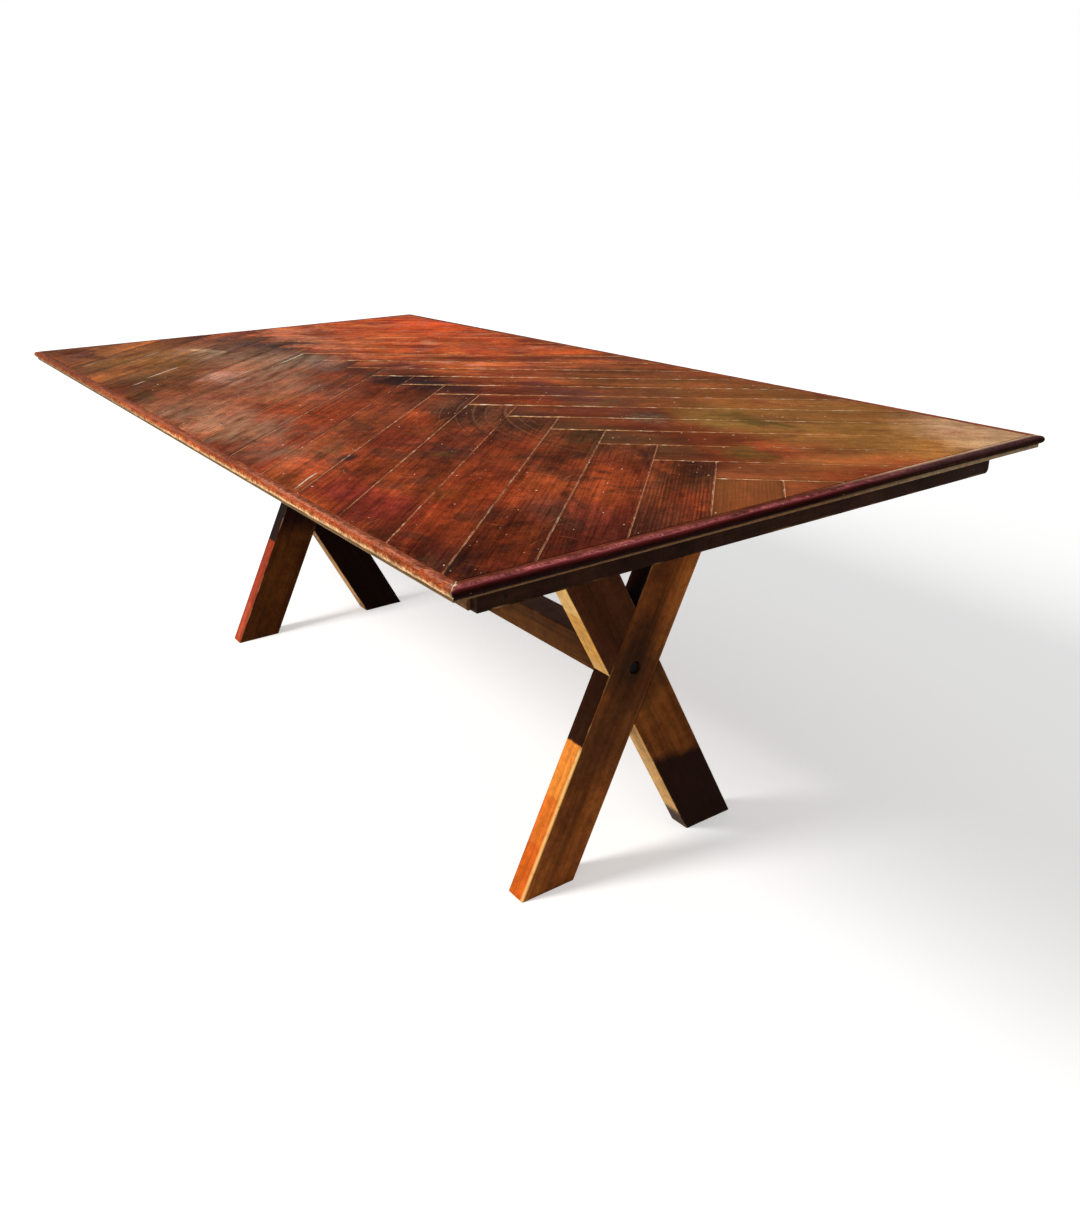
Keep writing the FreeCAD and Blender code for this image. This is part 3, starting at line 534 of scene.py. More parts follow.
def lay_shades(g, top):
    drift_x = g.add(g.mul(top.warp_x, 0.3), g.mul(g.x, 0.7))
    drift_y = g.add(g.mul(top.warp_y, 0.3), g.mul(g.y, 0.7))
    # lighter and darker patches: partly the finish's tone, partly painted light and shade
    for centre, radii, factor in SHADES:
        patch = soft_patch(g, drift_x, drift_y, centre, radii)
        g.shade(g.add(1.0, g.mul(patch, factor - 1.0)))


def lay_grain(g, top):
    """Grain, pores and grime; growth rings with darker latewood; a dark mottle."""
    crackle = spread(g, g.x, g.y, 240.0, 300.0, 5.0, 3.0, 0.6)
    pores = top.streaks(g, 7.0, 300.0, g.add(top.shift, 3.0), 2.0)
    figured = g.span(top.figure, 0.3, 0.9, 0.04, 0.2)
    grey = g.product(
        g.span(top.broad, 0.34, 0.7, 0.8, 1.28), g.span(top.cloud, 0.34, 0.7, 0.84, 1.24),
        g.span(top.medium, 0.32, 0.62, 0.8, 1.12), g.span(top.fine, 0.34, 0.62, 0.82, 1.1),
        g.span(top.grime, 0.3, 0.7, 0.76, 1.26), g.span(crackle, 0.36, 0.64, 0.8, 1.2),
        g.span(pores, 0.6, 0.66, 1.0, 0.62), g.sub(1.0, g.mul(top.latewood, figured)),
        g.span(top.tone, 0.0, 1.0, 0.86, 1.22),
    )
    contrast = g.sub(1.0, g.mul(top.calm, 0.4))
    g.shade(g.add(1.0, g.mul(g.sub(grey, 1.0), contrast)))
    mottled = g.span(top.mottle, 0.55, 0.78, 0.0, 0.65)
    g.coat((0.036, 0.01, 0.009), mottled, g.sub(1.0, g.mul(top.calm, 0.55)))


def lay_checks(g, top):
    """Short dark checks along the grain of the left boards."""
    checks = top.streaks(g, 9.0, 85.0, g.add(top.shift, 31.0), 2.0)
    g.coat((0.022, 0.007, 0.006), g.span(checks, 0.7, 0.78), top.left, 0.75)


def lay_reeds(g, top):
    """The foremost left board is paler, and the furrows between the reeds are darker."""
    g.coat((0.27, 0.095, 0.026), top.foremost, top.left, 0.6)
    furrows = g.span(top.reeds, 0.2, -0.8)
    g.coat((0.036, 0.011, 0.009), furrows, top.reeded, 0.6)


def lay_knots(g, top):
    for centre, radii, dark in KNOTS:
        wavy = g.add(top.across, g.sway(top.medium, 0.02))
        knot = soft_patch(g, top.along, wavy, on_left_boards(centre), radii)
        g.coat(dark, knot, top.left, 0.92)


def lay_saw_marks(g, top):
    radius = g.length(g.vector(g.sub(g.x, SAW_CENTRE[0]), g.sub(g.y, SAW_CENTRE[1])))
    marks = spread(g, radius, g.x, 210.0, 1.5, 0.0, 3.0, 0.6)
    zone = g.product(
        g.span(radius, SAW_INNER, SAW_INNER + 0.03),
        g.span(radius, SAW_OUTER, SAW_OUTER - 0.04),
        top.left,
        g.mul(g.span(g.x, 0.12, 0.22), g.span(g.x, 0.78, 0.62)),
        g.span(top.cloud, 0.36, 0.56, 0.6, 1.0),
    )
    g.coat((0.36, 0.19, 0.1), g.span(marks, 0.58, 0.66), zone, 0.36)
    g.coat((0.03, 0.012, 0.008), g.span(marks, 0.46, 0.36), zone, 0.5)


def lay_sheen(g, top):
    """Painted sheen of reflected light, brushed out along the boards, and one pale smudge."""
    sheen_streaks = spread(g, top.along, top.across, 9.0, 46.0, 3.0, 6.0, 0.68)
    sheen = 0.0
    for centre, radii, strength in SHEEN_PATCHES:
        sheen = g.add(sheen, g.mul(top.patch(g, centre, radii), strength))
    # painted sheen of reflected light, streaked along the boards
    g.coat((0.5, 0.29, 0.18), g.span(sheen_streaks, 0.34, 0.72), sheen, 0.55)
    smudge = top.patch(g, (0.55, 0.15), (0.12, 0.05))
    g.coat((0.42, 0.36, 0.24), smudge, g.span(top.grime, 0.46, 0.64), 0.2)


def lay_fine_scratches(g, top):
    """Pale and dark scratches along the far left boards, and hair lines near the front."""
    scratch = spread(g, top.along, top.across, 4.0, 70.0, 8.0, 3.0, 0.55)
    far_left = g.mul(g.span(g.x, 0.0, -0.35), top.left)
    g.coat((0.66, 0.48, 0.32), g.span(scratch, 0.66, 0.76), far_left, 0.55)
    g.coat((0.05, 0.022, 0.014), g.span(scratch, 0.34, 0.24), far_left, 0.6)
    for angle, third in HAIR_LINES:
        hair_x = g.add(g.mul(g.x, math.cos(angle)), g.mul(g.y, math.sin(angle)))
        hair_y = g.sub(g.mul(g.y, math.cos(angle)), g.mul(g.x, math.sin(angle)))
        hair = spread(g, hair_x, hair_y, 9.0, 230.0, third, 2.0, 0.5, 0.2)
        nearer = g.span(g.x, -0.1, 0.4)
        g.coat((0.52, 0.23, 0.1), g.span(hair, 0.7, 0.74), nearer, 0.3)


def lay_long_scratches(g, top):
    for start, run, half in SCRATCHES:
        start_along, start_across = on_left_boards(start)
        wavy = g.sway(g.noise(g.point, 26.0, 3.0), 0.006)
        beside = g.size(g.add(wavy, g.sub(top.across, start_across)))
        past = g.sub(top.along, start_along)
        mark = g.product(
            g.mul(g.span(past, 0.0, 0.02), g.span(past, run, run * 0.7)),
            g.span(beside, half, half * 0.3), g.span(top.grime, 0.36, 0.52, 0.35, 1.0),
        )
        g.coat(PALE_SCRATCH, mark, top.left, 0.85)


def worn_seams(g, top):
    """How strong the worn line on a joint shows at a point, and its colour."""
    at_end = g.math("LESS_THAN", top.end, top.side)
    of_right = g.choose(at_end, top.right, top.left)
    number = g.choose(of_right, top.left_seam, g.add(top.right_seam, RIGHT_SEAMS))
    strength, warmth, breadth = g.scatter(number)
    fine = spread(g, top.along, top.across, 70.0, 70.0, top.shift, 3.0)
    long = spread(g, top.along, top.across, 11.0, 11.0, number, 3.0)
    near_spine = g.span(top.end, 0.36, 0.0)
    width = g.add(g.span(fine, 0.3, 0.75, 0.001, 0.0016), g.mul(breadth, 0.0004))
    width = g.add(width, g.mul(of_right, g.span(g.x, 0.95, 0.25, 0.0008, 0.0052)))
    left_breaks = g.span(fine, 0.34, 0.5, 0.45, 1.0)
    right_breaks = g.span(fine, 0.4, 0.56, 0.34, 1.0)
    left_reach = g.span(g.x, -0.45, 0.1, 0.15, 1.0)
    right_reach = g.span(g.x, -0.95, 0.1, 0.3, 1.0)
    line = g.product(
        g.span(g.lesser(top.side, top.end), width, 0.0007),
        g.choose(of_right, left_breaks, right_breaks), g.span(long, 0.32, 0.46, 0.35, 1.0),
        g.span(strength, 0.0, 0.7, 0.7, 1.0),
        g.choose(of_right, 1.0, g.add(0.62, g.mul(near_spine, 0.38))),
        g.choose(of_right, left_reach, right_reach),
    )
    gold = g.mix(warmth, (0.7, 0.27, 0.08), (0.88, 0.48, 0.2))
    gold = g.mix(g.span(fine, 0.55, 0.64), gold, (1.0, 0.82, 0.6))
    tan = g.mix(warmth, (0.7, 0.27, 0.11), (0.84, 0.48, 0.26))
    tan = g.mix(g.span(fine, 0.58, 0.68), tan, (0.95, 0.78, 0.6))
    return line, g.mix(of_right, tan, gold)


def chipped(g, top):
    """Pale specks, splashes along the boards and dust, gathered in places."""
    gathered = g.span(g.noise(g.point, 6.5, 3.0, 0.6), 0.46, 0.6, 0.05, 1.0)
    specks = g.mul(pale_specks(g, g.point, 46.0, 0.1, 0.2), g.span(gathered, 0.2, 0.5))
    splashes = pale_specks(g, g.vector(g.mul(top.along, 0.5), top.across, 0.0), 130.0, 0.15, 0.03)
    dust = g.product(pale_specks(g, g.point, 150.0, 0.16, 0.1), gathered, g.span(g.x, -0.2, 0.5))
    return g.greater(g.greater(specks, splashes), dust)


def board_wood():
    """The finish of the whole top: its coats, one over the other, then seams and chips."""
    g = Graph(bpy.data.materials.new("herringbone_board_wood"))
    top = TopFigure(g)
    base = g.add(g.mul(top.broad, 0.44), g.add(g.mul(top.cloud, 0.46), g.mul(top.tone, 0.12)))
    g.colour = g.ramp(base, BOARD_TONES)
    for lay in (lay_stains, lay_clouds, lay_board_hues, lay_flares, lay_pinks, lay_pools, lay_shades,
                lay_grain, lay_checks, lay_reeds, lay_knots, lay_saw_marks, lay_sheen,
                lay_fine_scratches, lay_long_scratches):
        lay(g, top)
    beside_joint = g.span(g.lesser(top.side, top.end), 0.01, 0.001, 0.0, 0.25)
    g.coat((0.05, 0.014, 0.01), beside_joint)
    line, worn_tone = worn_seams(g, top)
    g.coat(worn_tone, line)
    chips = chipped(g, top)
    g.coat(PALE_CHIP, chips, 0.95)
    roughness = g.add(g.span(top.mottle, 0.35, 0.7, 0.24, 0.42), g.mul(g.greater(line, chips), 0.3))
    height = g.add(g.mul(top.fine, 0.4), g.sub(g.mul(top.medium, 0.4), g.mul(top.latewood, 0.1)))
    height = g.add(g.add(height, g.mul(top.grime, 0.3)), g.product(top.reeds, top.reeded, 0.35))
    height = g.sub(height, g.mul(chips, 0.6))
    return g.finish(roughness, g.bump(height, 0.0006, 0.8), gloss=TOP_GLOSS)


# ------------ frame and trestle timber

WORN_WOOD = (0.5, 0.27, 0.12)
RAIL_TONES = [
    (0.28, (0.07, 0.03, 0.01)),
    (0.5, (0.15, 0.066, 0.022)),
    (0.72, (0.26, 0.13, 0.045)),
]
APRON_TONES = [
    (0.28, (0.015, 0.006, 0.005)),
    (0.5, (0.036, 0.014, 0.008)),
    (0.72, (0.075, 0.03, 0.014)),
]
STRETCHER_TONES = [
    (0.28, (0.038, 0.011, 0.004)),
    (0.5, (0.104, 0.034, 0.006)),
    (0.72, (0.175, 0.066, 0.011)),
]


def timber(name, grain, edge, tones, sides=(), dark=(), seed=0.0, last=()):
    """Stained timber.  Grain gives a graph's coordinates along, across and through the piece,
    edge its distance from the nearest arris.  Dark recolours a part of it, sides its edge faces
    and last lies over the grain; each gives masks and colours."""
    g = Graph(bpy.data.materials.new(name))
    along, across, through = grain(g)
    along = g.add(along, seed)
    broad = streaks(g, along, across, through, 1.6, 16.0, seed, 3.0)
    medium = streaks(g, along, across, through, 2.6, 110.0, seed + 7.0, 3.0)
    fine = streaks(g, along, across, through, 14.0, 640.0, seed + 13.0, 2.0)
    cloud = g.noise(g.point, 11.0, 6.0, 0.66)
    grime = g.noise(g.point, 70.0, 6.0, 0.68)
    mottle = spread(g, along, across, 8.0, 14.0, g.mul(through, 14.0), 6.0, 0.64)
    g.colour = g.ramp(g.add(g.mul(broad, 0.35), g.mul(cloud, 0.65)), tones)
    for mask, stain in list(dark) + list(sides):
        g.coat(stain, mask(g))
    grey = g.product(
        g.span(medium, 0.3, 0.62, 0.8, 1.1), g.span(fine, 0.34, 0.62, 0.82, 1.06),
        g.span(broad, 0.32, 0.7, 0.84, 1.22), g.span(grime, 0.3, 0.7, 0.8, 1.2),
    )
    g.shade(grey)
    darkest = tones[0][1]
    g.coat(darkest, g.span(mottle, 0.52, 0.76, 0.0, 0.65))
    for mask, stain in last:
        g.coat(stain, mask(g))
    rub = spread(g, along, across, 26.0, 60.0, g.mul(through, 60.0), 4.0, 0.6)
    wear = g.mul(g.span(edge(g), 0.003, 0.0004), g.span(rub, 0.46, 0.7))
    g.coat(WORN_WOOD, wear, 0.65)
    chips = pale_specks(g, g.point, 70.0, 0.1, 0.035)
    g.coat(WORN_WOOD, chips, 0.75)
    height = g.add(g.mul(medium, 0.5), g.mul(fine, 0.4))
    height = g.sub(height, g.mul(g.greater(wear, chips), 0.5))
    shine = g.add(g.span(mottle, 0.35, 0.7, 0.34, 0.5), g.mul(wear, 0.15))
    return g.finish(shine, g.bump(height, 0.0007, 0.8), TIMBER_GLOSS)


def brown(value):
    """Three tones of the trestles' brown stain; value is the red of the middle one."""
    return [
        (0.28, (0.38 * value, 0.098 * value, 0.03 * value)),
        (0.5, (1.0 * value, 0.285 * value, 0.06 * value)),
        (0.72, (1.6 * value, 0.52 * value, 0.09 * value)),
    ]


def leg_position(g, lean):
    """Coordinates along and across a leg; lean is 1 for a leg that rises to +Y."""
    sine, cosine = math.sin(LEG_LEAN), math.cos(LEG_LEAN)
    above = g.sub(g.z, CROSSING_HEIGHT)
    along = g.add(g.mul(above, cosine), g.mul(g.y, lean * sine))
    across = g.sub(g.mul(g.y, cosine), g.mul(above, lean * sine))
    return along, across


# Height of the painted shadow on the edge faces of a foot.
SHADOWED_TIP = 0.035


def leg_wood(name, lean, tones, sides, dark, seed, rubbed=0.0, foot=0.0):
    """Timber of a leg.  Sides lists the tones of the edge face on its lit side, each with the height it
    starts at: painted light, and painted shadow in the dark ones.  Below the height rubbed its
    arrises are worn pale and carry a painted sunlit highlight, and foot is the height of a painted
    shadow, nearly black, on its broad faces."""

    def grain(g):
        along, across = leg_position(g, lean)
        return along, across, g.x

    def to_side(g):
        return g.sub(LEG_WIDTH / 2, g.size(leg_position(g, lean)[1]))

    def edge(g):
        middle = STRETCHER_HIGH.x + LEG_THICKNESS / 2
        from_middle = g.size(g.sub(g.size(g.x), middle))
        to_face = g.sub(LEG_THICKNESS / 2, from_middle)
        return g.lesser(g.greater(to_side(g), to_face), g.greater(g.z, 0.0))

    # Painted light on the edge face of the lit side, and painted shadow where its tone is dark.
    def lit_side_from(height):

        def mask(g):
            ragged = g.mul(g.noise(g.point, 60.0, 3.0), 0.006)
            lit = g.math("LESS_THAN", leg_position(g, lean)[1], 0.0)
            above = g.span(g.add(g.z, ragged), height, height + 0.004)
            return g.product(g.span(to_side(g), 0.0012, 0.0002), lit, above)

        return mask

    # Pale arrises low down: partly wear and partly a painted sunlit highlight below the top's shadow line.
    def arris(g):
        rub = g.noise(g.point, 50.0, 5.0, 0.66)
        outer = g.sub(STRETCHER_HIGH.x + LEG_THICKNESS, g.size(g.x))
        return g.product(
            g.span(outer, 0.01, 0.003), g.span(to_side(g), 0.003, 0.0008),
            g.span(rub, 0.26, 0.5), g.span(g.z, rubbed, rubbed - 0.012, 0.0, 0.85),
        )

    # Painted shadow over the foot, nearly black on the broad faces.
    def shadowed_foot(g):
        ragged = g.sway(g.noise(g.point, 9.0, 5.0, 0.6), 0.06)
        face = g.span(to_side(g), 0.0002, 0.0012)
        high = g.add(g.mul(face, foot - SHADOWED_TIP), SHADOWED_TIP)
        return g.mul(g.span(g.sub(g.add(g.z, ragged), high), 0.014, -0.014), 0.95)

    # The same painted shadow on the foot's edge faces, in brown.
    def shadowed_foot_edges(g):
        return g.mul(shadowed_foot(g), g.span(to_side(g), 0.0012, 0.0002, 0.0, 0.9))

    coats = [(lit_side_from(height), tone) for height, tone in sides]
    last = []
    if rubbed:
        last.append((arris, (0.9, 0.52, 0.17)))
    # painted shadow over the foot
    if foot:
        last.append((shadowed_foot, (0.013, 0.005, 0.004)))
        last.append((shadowed_foot_edges, (0.06, 0.026, 0.01)))
    return timber(name, grain, edge, tones, coats, dark, seed, last)


def blot(centre, radii, strength):
    """A dark blotch on the trestle faces: centre and radii along Y and Z."""

    def mask(g):
        ragged = g.sway(g.noise(g.point, 14.0, 4.0, 0.6), 0.1)
        return g.mul(soft_patch(g, g.add(g.y, ragged), g.add(g.z, ragged), centre, radii), strength)

    return mask


def level(low, high, strength):
    """Painted shade between two heights, with ragged ends."""

    def mask(g):
        ragged = g.add(g.z, g.sway(g.noise(g.point, 12.0, 5.0, 0.64), 0.12))
        above = g.span(ragged, low - 0.03, low + 0.03)
        below = g.span(ragged, high + 0.03, high - 0.03)
        return g.product(above, below, strength)

    return mask


def inner_face_shade(mask):
    """Painted shade kept to the faces of the back trestle that look towards the stretcher."""

    def kept(g):
        face = -STRETCHER_HIGH.x
        return g.mul(mask(g), g.span(g.x, face - 0.0025, face - 0.001))

    return kept


def make_leg_woods():
    # The coats between two heights, and those on the back trestle's inner faces, are painted shade.
    near_bolt = (blot((0.0, CROSSING_HEIGHT), (0.125, 0.12), 0.9), (0.042, 0.018, 0.008))
    # Painted shade on the legs just under the top.
    under_top_shade = (blot((0.0, 0.74), (0.6, 0.26), 0.55), (0.05, 0.015, 0.007))
    # Each leg's edge-face tones are painted light; the dark ones are painted shadow.
    front_outer = leg_wood(
        "front_outer_leg_wood", 1, brown(0.27),
        [(-0.1, (0.64, 0.12, 0.013)), (0.09, (0.7, 0.165, 0.02)), (0.17, (0.8, 0.25, 0.036)),
         (0.262, (0.03, 0.009, 0.003)), (0.4, (0.01, 0.004, 0.003))],
        [near_bolt, under_top_shade, (level(0.2, 0.34, 0.55), (0.085, 0.032, 0.012))], 5.0, rubbed=0.262)
    front_inner = leg_wood(
        "front_inner_leg_wood", -1, brown(0.185),
        [(-0.1, (0.85, 0.47, 0.15)), (0.4, (0.78, 0.38, 0.075)), (0.5, (0.88, 0.52, 0.16))],
        [near_bolt, under_top_shade, (level(0.41, 0.9, 0.9), (0.056, 0.017, 0.007))], 12.0, foot=0.178)
    # The back trestle's darker brown tones are painted shade under the table.
    back_inner = leg_wood(
        "back_inner_leg_wood", 1, brown(0.085),
        [(-0.1, (0.4, 0.06, 0.022)), (0.1, (0.33, 0.042, 0.014)), (0.262, (0.012, 0.005, 0.004))],
        [near_bolt, under_top_shade, (inner_face_shade(level(0.29, 0.9, 0.88)), (0.013, 0.004, 0.004))], 23.0)
    back_outer = leg_wood(
        "back_outer_leg_wood", -1, brown(0.085),
        [(-0.1, (0.85, 0.43, 0.14))],
        [near_bolt, (inner_face_shade(level(-1.0, 2.0, 0.96)), (0.004, 0.0015, 0.001))], 31.0)
    return {
        "front_outer_lap_leg": front_outer, "front_inner_lap_leg": front_inner,
        "back_inner_lap_leg": back_inner, "back_outer_lap_leg": back_outer,
    }


def box_timber(node, grain_axis, tones, seed):
    """Timber of a square-edged member whose grain runs along "x" or "y"."""
    low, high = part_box(node)
    middle, half = (low + high) / 2, (high - low) / 2

    def to_face(g, axis):
        value = (g.x, g.y, g.z)[axis]
        return g.sub(half[axis], g.size(g.sub(value, middle[axis])))

    def edge(g):
        return g.greater(to_face(g, 1 if grain_axis == "x" else 0), to_face(g, 2))

    def grain(g):
        return (g.x, g.y, g.z) if grain_axis == "x" else (g.y, g.x, g.z)

    return timber(node + "_wood", grain, edge, tones, seed=seed)


# ------------ nosing, plywood, steel

# Tones round the moulding from its quirk, out over the top and down to its lower edge; the
# distance along the profile is in millimetres.  The pale band over the rounding is a painted
# highlight, on the side mouldings also wear; the dark lower part of the end bands is partly
# painted shade.
SIDE_BANDS = [
    (0.0, (0.255, 0.074, 0.038)),
    (1.2, (0.2, 0.052, 0.024)),
    (9.0, (0.25, 0.066, 0.032)),
    (11.0, (0.45, 0.15, 0.085)),
    (11.9, (0.49, 0.165, 0.09)),
    (12.8, (0.25, 0.042, 0.014)),
    (14.6, (0.33, 0.066, 0.02)),
    (16.6, (0.33, 0.098, 0.032)),
    (18.4, (0.48, 0.22, 0.092)),
    (20.4, (0.78, 0.47, 0.24)),
    (24.0, (0.9, 0.56, 0.3)),
]
END_BANDS = [
    (0.0, (0.13, 0.03, 0.014)),
    (6.0, (0.135, 0.031, 0.018)),
    (9.5, (0.17, 0.042, 0.026)),
    (11.6, (0.21, 0.05, 0.04)),
    (12.3, (0.32, 0.085, 0.086)),
    (13.3, (0.5, 0.12, 0.13)),
    (14.4, (0.2, 0.03, 0.032)),
    (16.6, (0.07, 0.01, 0.008)),
    (19.0, (0.022, 0.005, 0.004)),
    (24.0, (0.012, 0.004, 0.004)),
]
END_BANDS_RIGHT = [
    (0.0, (0.7, 0.43, 0.27)),
    (4.0, (0.64, 0.4, 0.27)),
    (8.0, (0.26, 0.14, 0.1)),
    (10.8, (0.1, 0.042, 0.034)),
    (13.0, (0.105, 0.045, 0.046)),
    (14.8, (0.08, 0.028, 0.027)),
    (17.0, (0.034, 0.012, 0.008)),
    (24.0, (0.05, 0.026, 0.012)),
]


# Millimetres round the profile that the bands are spread over.
PROFILE_REACH = 25.0


def profile_ramp(g, place, bands):
    return g.ramp(place, [(at / PROFILE_REACH, tone) for at, tone in bands])


def nosing_place(g, to_edge, grit, rub, drift, ragged):
    """How far round the profile a point lies, as a share of the bands' reach, with noise."""
    around = g.sub(NOSING_WIDTH, g.greater(to_edge, BOARD_THICKNESS / 2))
    around = g.mul(g.add(around, g.sub(TOP, g.z)), 1000.0)
    around = g.add(around, g.span(rub, 0.3, 0.7, -0.7, 0.7))
    around = g.add(around, g.span(drift, 0.3, 0.7, -0.5, 0.5))
    around = g.add(around, g.span(grit, 0.34, 0.66, -ragged, ragged))
    return g.mul(around, 1 / PROFILE_REACH)


def fade_side(g, place):
    """Towards the far end, a side moulding's painted highlight and pale lower edge fade, and it gets
    darker.
    """
    faded = g.mul(g.span(place, 0.4, 0.44), g.span(place, 0.6, 0.5))
    g.coat((0.21, 0.054, 0.026), faded, g.span(g.x, 0.6, 0.4, 0.0, 0.6))
    far = g.span(g.x, 0.25, -0.2, 0.0, 0.62)
    g.coat((0.19, 0.06, 0.024), g.span(place, 0.6, 0.72), far)
    g.coat((0.11, 0.03, 0.014), g.span(g.x, 0.2, -0.7, 0.0, 0.45))


def pale_mitre(g, from_end, from_side, to_edge, rub):
    """The open line of a mitre, and the rubbed spot where it crosses the rounding."""
    across = g.size(g.sub(from_end, from_side))
    joint = g.mul(g.span(across, 0.002, 0.0005), g.span(rub, 0.36, 0.52))
    rounding = g.mul(g.span(to_edge, 0.004, 0.0075), g.span(to_edge, 0.012, 0.0095))
    corner = g.product(g.span(across, 0.006, 0.002), rounding, g.span(rub, 0.34, 0.46))
    return g.greater(joint, corner)


def nosing_wood(name, grain, bands, bands_right, seed):
    """Stained moulding in bands round its profile, rubbed pale along its quirk and, on the sides, its lower
    edge; the pale band over the rounding is a painted highlight, on the sides also wear, and the ends' dark
    lower part is partly painted shade.
    """
    g = Graph(bpy.data.materials.new(name))
    a, c = (g.x, g.y) if grain == "x" else (g.y, g.x)
    broad = streaks(g, a, c, g.z, 3.0, 60.0, seed, 3.0)
    fine = streaks(g, a, c, g.z, 20.0, 500.0, seed + 5.0, 3.0)
    rub = spread(g, a, c, 38.0, 90.0, g.mul(g.z, 90.0), 6.0, 0.68)
    drift = g.noise(g.vector(g.mul(a, 6.0), seed, 0.0), 1.0, 3.0)
    grit = g.noise(g.point, 170.0, 5.0, 0.7)
    from_end = g.sub(HALF_LENGTH, g.size(g.x))
    from_side = g.sub(HALF_WIDTH, g.size(g.y))
    to_edge = g.lesser(from_end, from_side)
    place = nosing_place(g, to_edge, grit, rub, drift, 1.5 if grain == "x" else 0.5)
    g.colour = profile_ramp(g, place, bands)
    if grain == "x":
        fade_side(g, place)
    if bands_right:
        other = profile_ramp(g, place, bands_right)
        g.coat(other, g.span(g.y, 0.0, 0.3))
    grey = g.product(
        g.span(broad, 0.3, 0.7, 0.82, 1.22), g.span(fine, 0.34, 0.62, 0.74, 1.14),
        g.span(rub, 0.34, 0.66, 0.74, 1.26), g.span(grit, 0.32, 0.68, 0.72, 1.3),
    )
    g.shade(grey)
    quirk = g.span(to_edge, NOSING_WIDTH - 0.0016, NOSING_WIDTH - 0.0006)
    chips = pale_specks(g, g.point, 95.0, 0.15, 0.09)
    bare = g.greater(g.product(quirk, g.span(rub, 0.44, 0.6), 0.75), chips)
    g.coat((0.62, 0.36, 0.2), bare, 0.8)
    mitre = pale_mitre(g, from_end, from_side, to_edge, rub)
    g.coat((0.78, 0.58, 0.36), mitre, 0.85)
    height = g.sub(g.add(g.mul(fine, 0.3), g.mul(rub, 0.4)), g.mul(bare, 0.5))
    roughness = g.span(rub, 0.35, 0.7, 0.26, 0.46)
    return g.finish(roughness, g.bump(height, 0.0006, 0.8), gloss=TOP_GLOSS)


def plywood():
    """Raw panel: tan faces, and edges in bands by height, pale at the worn lower corner; the end edges'
    near-black top is painted shadow under the moulding.
    """
    g = Graph(bpy.data.materials.new("raw_plywood"))
    broad = streaks(g, g.x, g.y, g.z, 1.2, 20.0, 3.0, 3.0)
    fine = streaks(g, g.x, g.y, g.z, 10.0, 420.0, 9.0, 2.0)
    rub = g.noise(g.point, 24.0, 5.0, 0.6)
    nick = spread(g, g.x, g.y, 60.0, 60.0, g.mul(g.z, 160.0), 4.0, 0.65)
    g.colour = g.ramp(broad, [(0.3, (0.3, 0.17, 0.075)), (0.7, (0.5, 0.31, 0.15))])
    g.coat((0.12, 0.055, 0.022), g.span(rub, 0.56, 0.74, 0.0, 0.7))
    level = g.math("DIVIDE", g.sub(g.z, PANEL_LOW.z), PANEL_HIGH.z - PANEL_LOW.z)
    level = g.add(level, g.span(nick, 0.3, 0.7, -0.1, 0.1))
    side = g.ramp(level, [
        (0.05, (0.26, 0.17, 0.095)), (0.16, (0.15, 0.085, 0.034)), (0.45, (0.13, 0.07, 0.026)),
        (0.68, (0.3, 0.185, 0.085)), (0.82, (0.8, 0.5, 0.26)),
    ])
    lower = g.add(level, g.span(g.y, -0.4, 0.0, 0.28, 0.0))
    # The end edges go near-black towards the top: painted shadow under the moulding.
    end = g.ramp(lower, [
        (0.2, (0.29, 0.15, 0.064)), (0.5, (0.24, 0.125, 0.058)), (0.66, (0.09, 0.042, 0.02)),
        (0.8, (0.016, 0.006, 0.005)),
    ])
    end = g.mix(g.span(g.y, 0.0, 0.35, 0.0, 0.55), end, (0.56, 0.4, 0.23))
    to_side = g.sub(PANEL_HIGH.y, g.size(g.y))
    to_end = g.sub(PANEL_HIGH.x, g.size(g.x))
    g.coat(end, g.span(to_end, 0.001, 0.0004))
    g.coat(side, g.span(to_side, 0.001, 0.0004))
    grey = g.mul(g.span(fine, 0.34, 0.62, 0.78, 1.06), g.span(nick, 0.32, 0.66, 0.72, 1.2))
    g.shade(grey)
    return g.finish(0.75, g.bump(fine, 0.0005, 0.8), gloss=PANEL_GLOSS)


def steel(name, bright, spotted):
    """Zinc plating, dulled and spotted, or the same nearly black: gone dark under stain on the nails, and
    painted shade of the deep holes on the crossing bolts.
    """
    g = Graph(bpy.data.materials.new(name))
    cloud = g.noise(g.point, 160.0, 4.0, 0.6)
    spots = g.span(g.noise(g.point, 420.0, 3.0), 0.6, 0.72)
    low = (0.58 * bright, 0.56 * bright, 0.53 * bright)
    high = (bright, 0.98 * bright, 0.93 * bright)
    g.colour = g.ramp(cloud, [(0.3, low), (0.7, high)])
    g.coat(spotted, spots, 0.7)
    roughness = g.span(cloud, 0.3, 0.7, 0.34, 0.55)
    return g.finish(roughness, g.bump(cloud, 0.0002, 0.5), metallic=1.0)


# ------------ nosing mesh

NOSING_SEGMENT = 0.006
NOSE_STEPS = 14
DENT = 0.0007
DENTED_FROM = 0.003


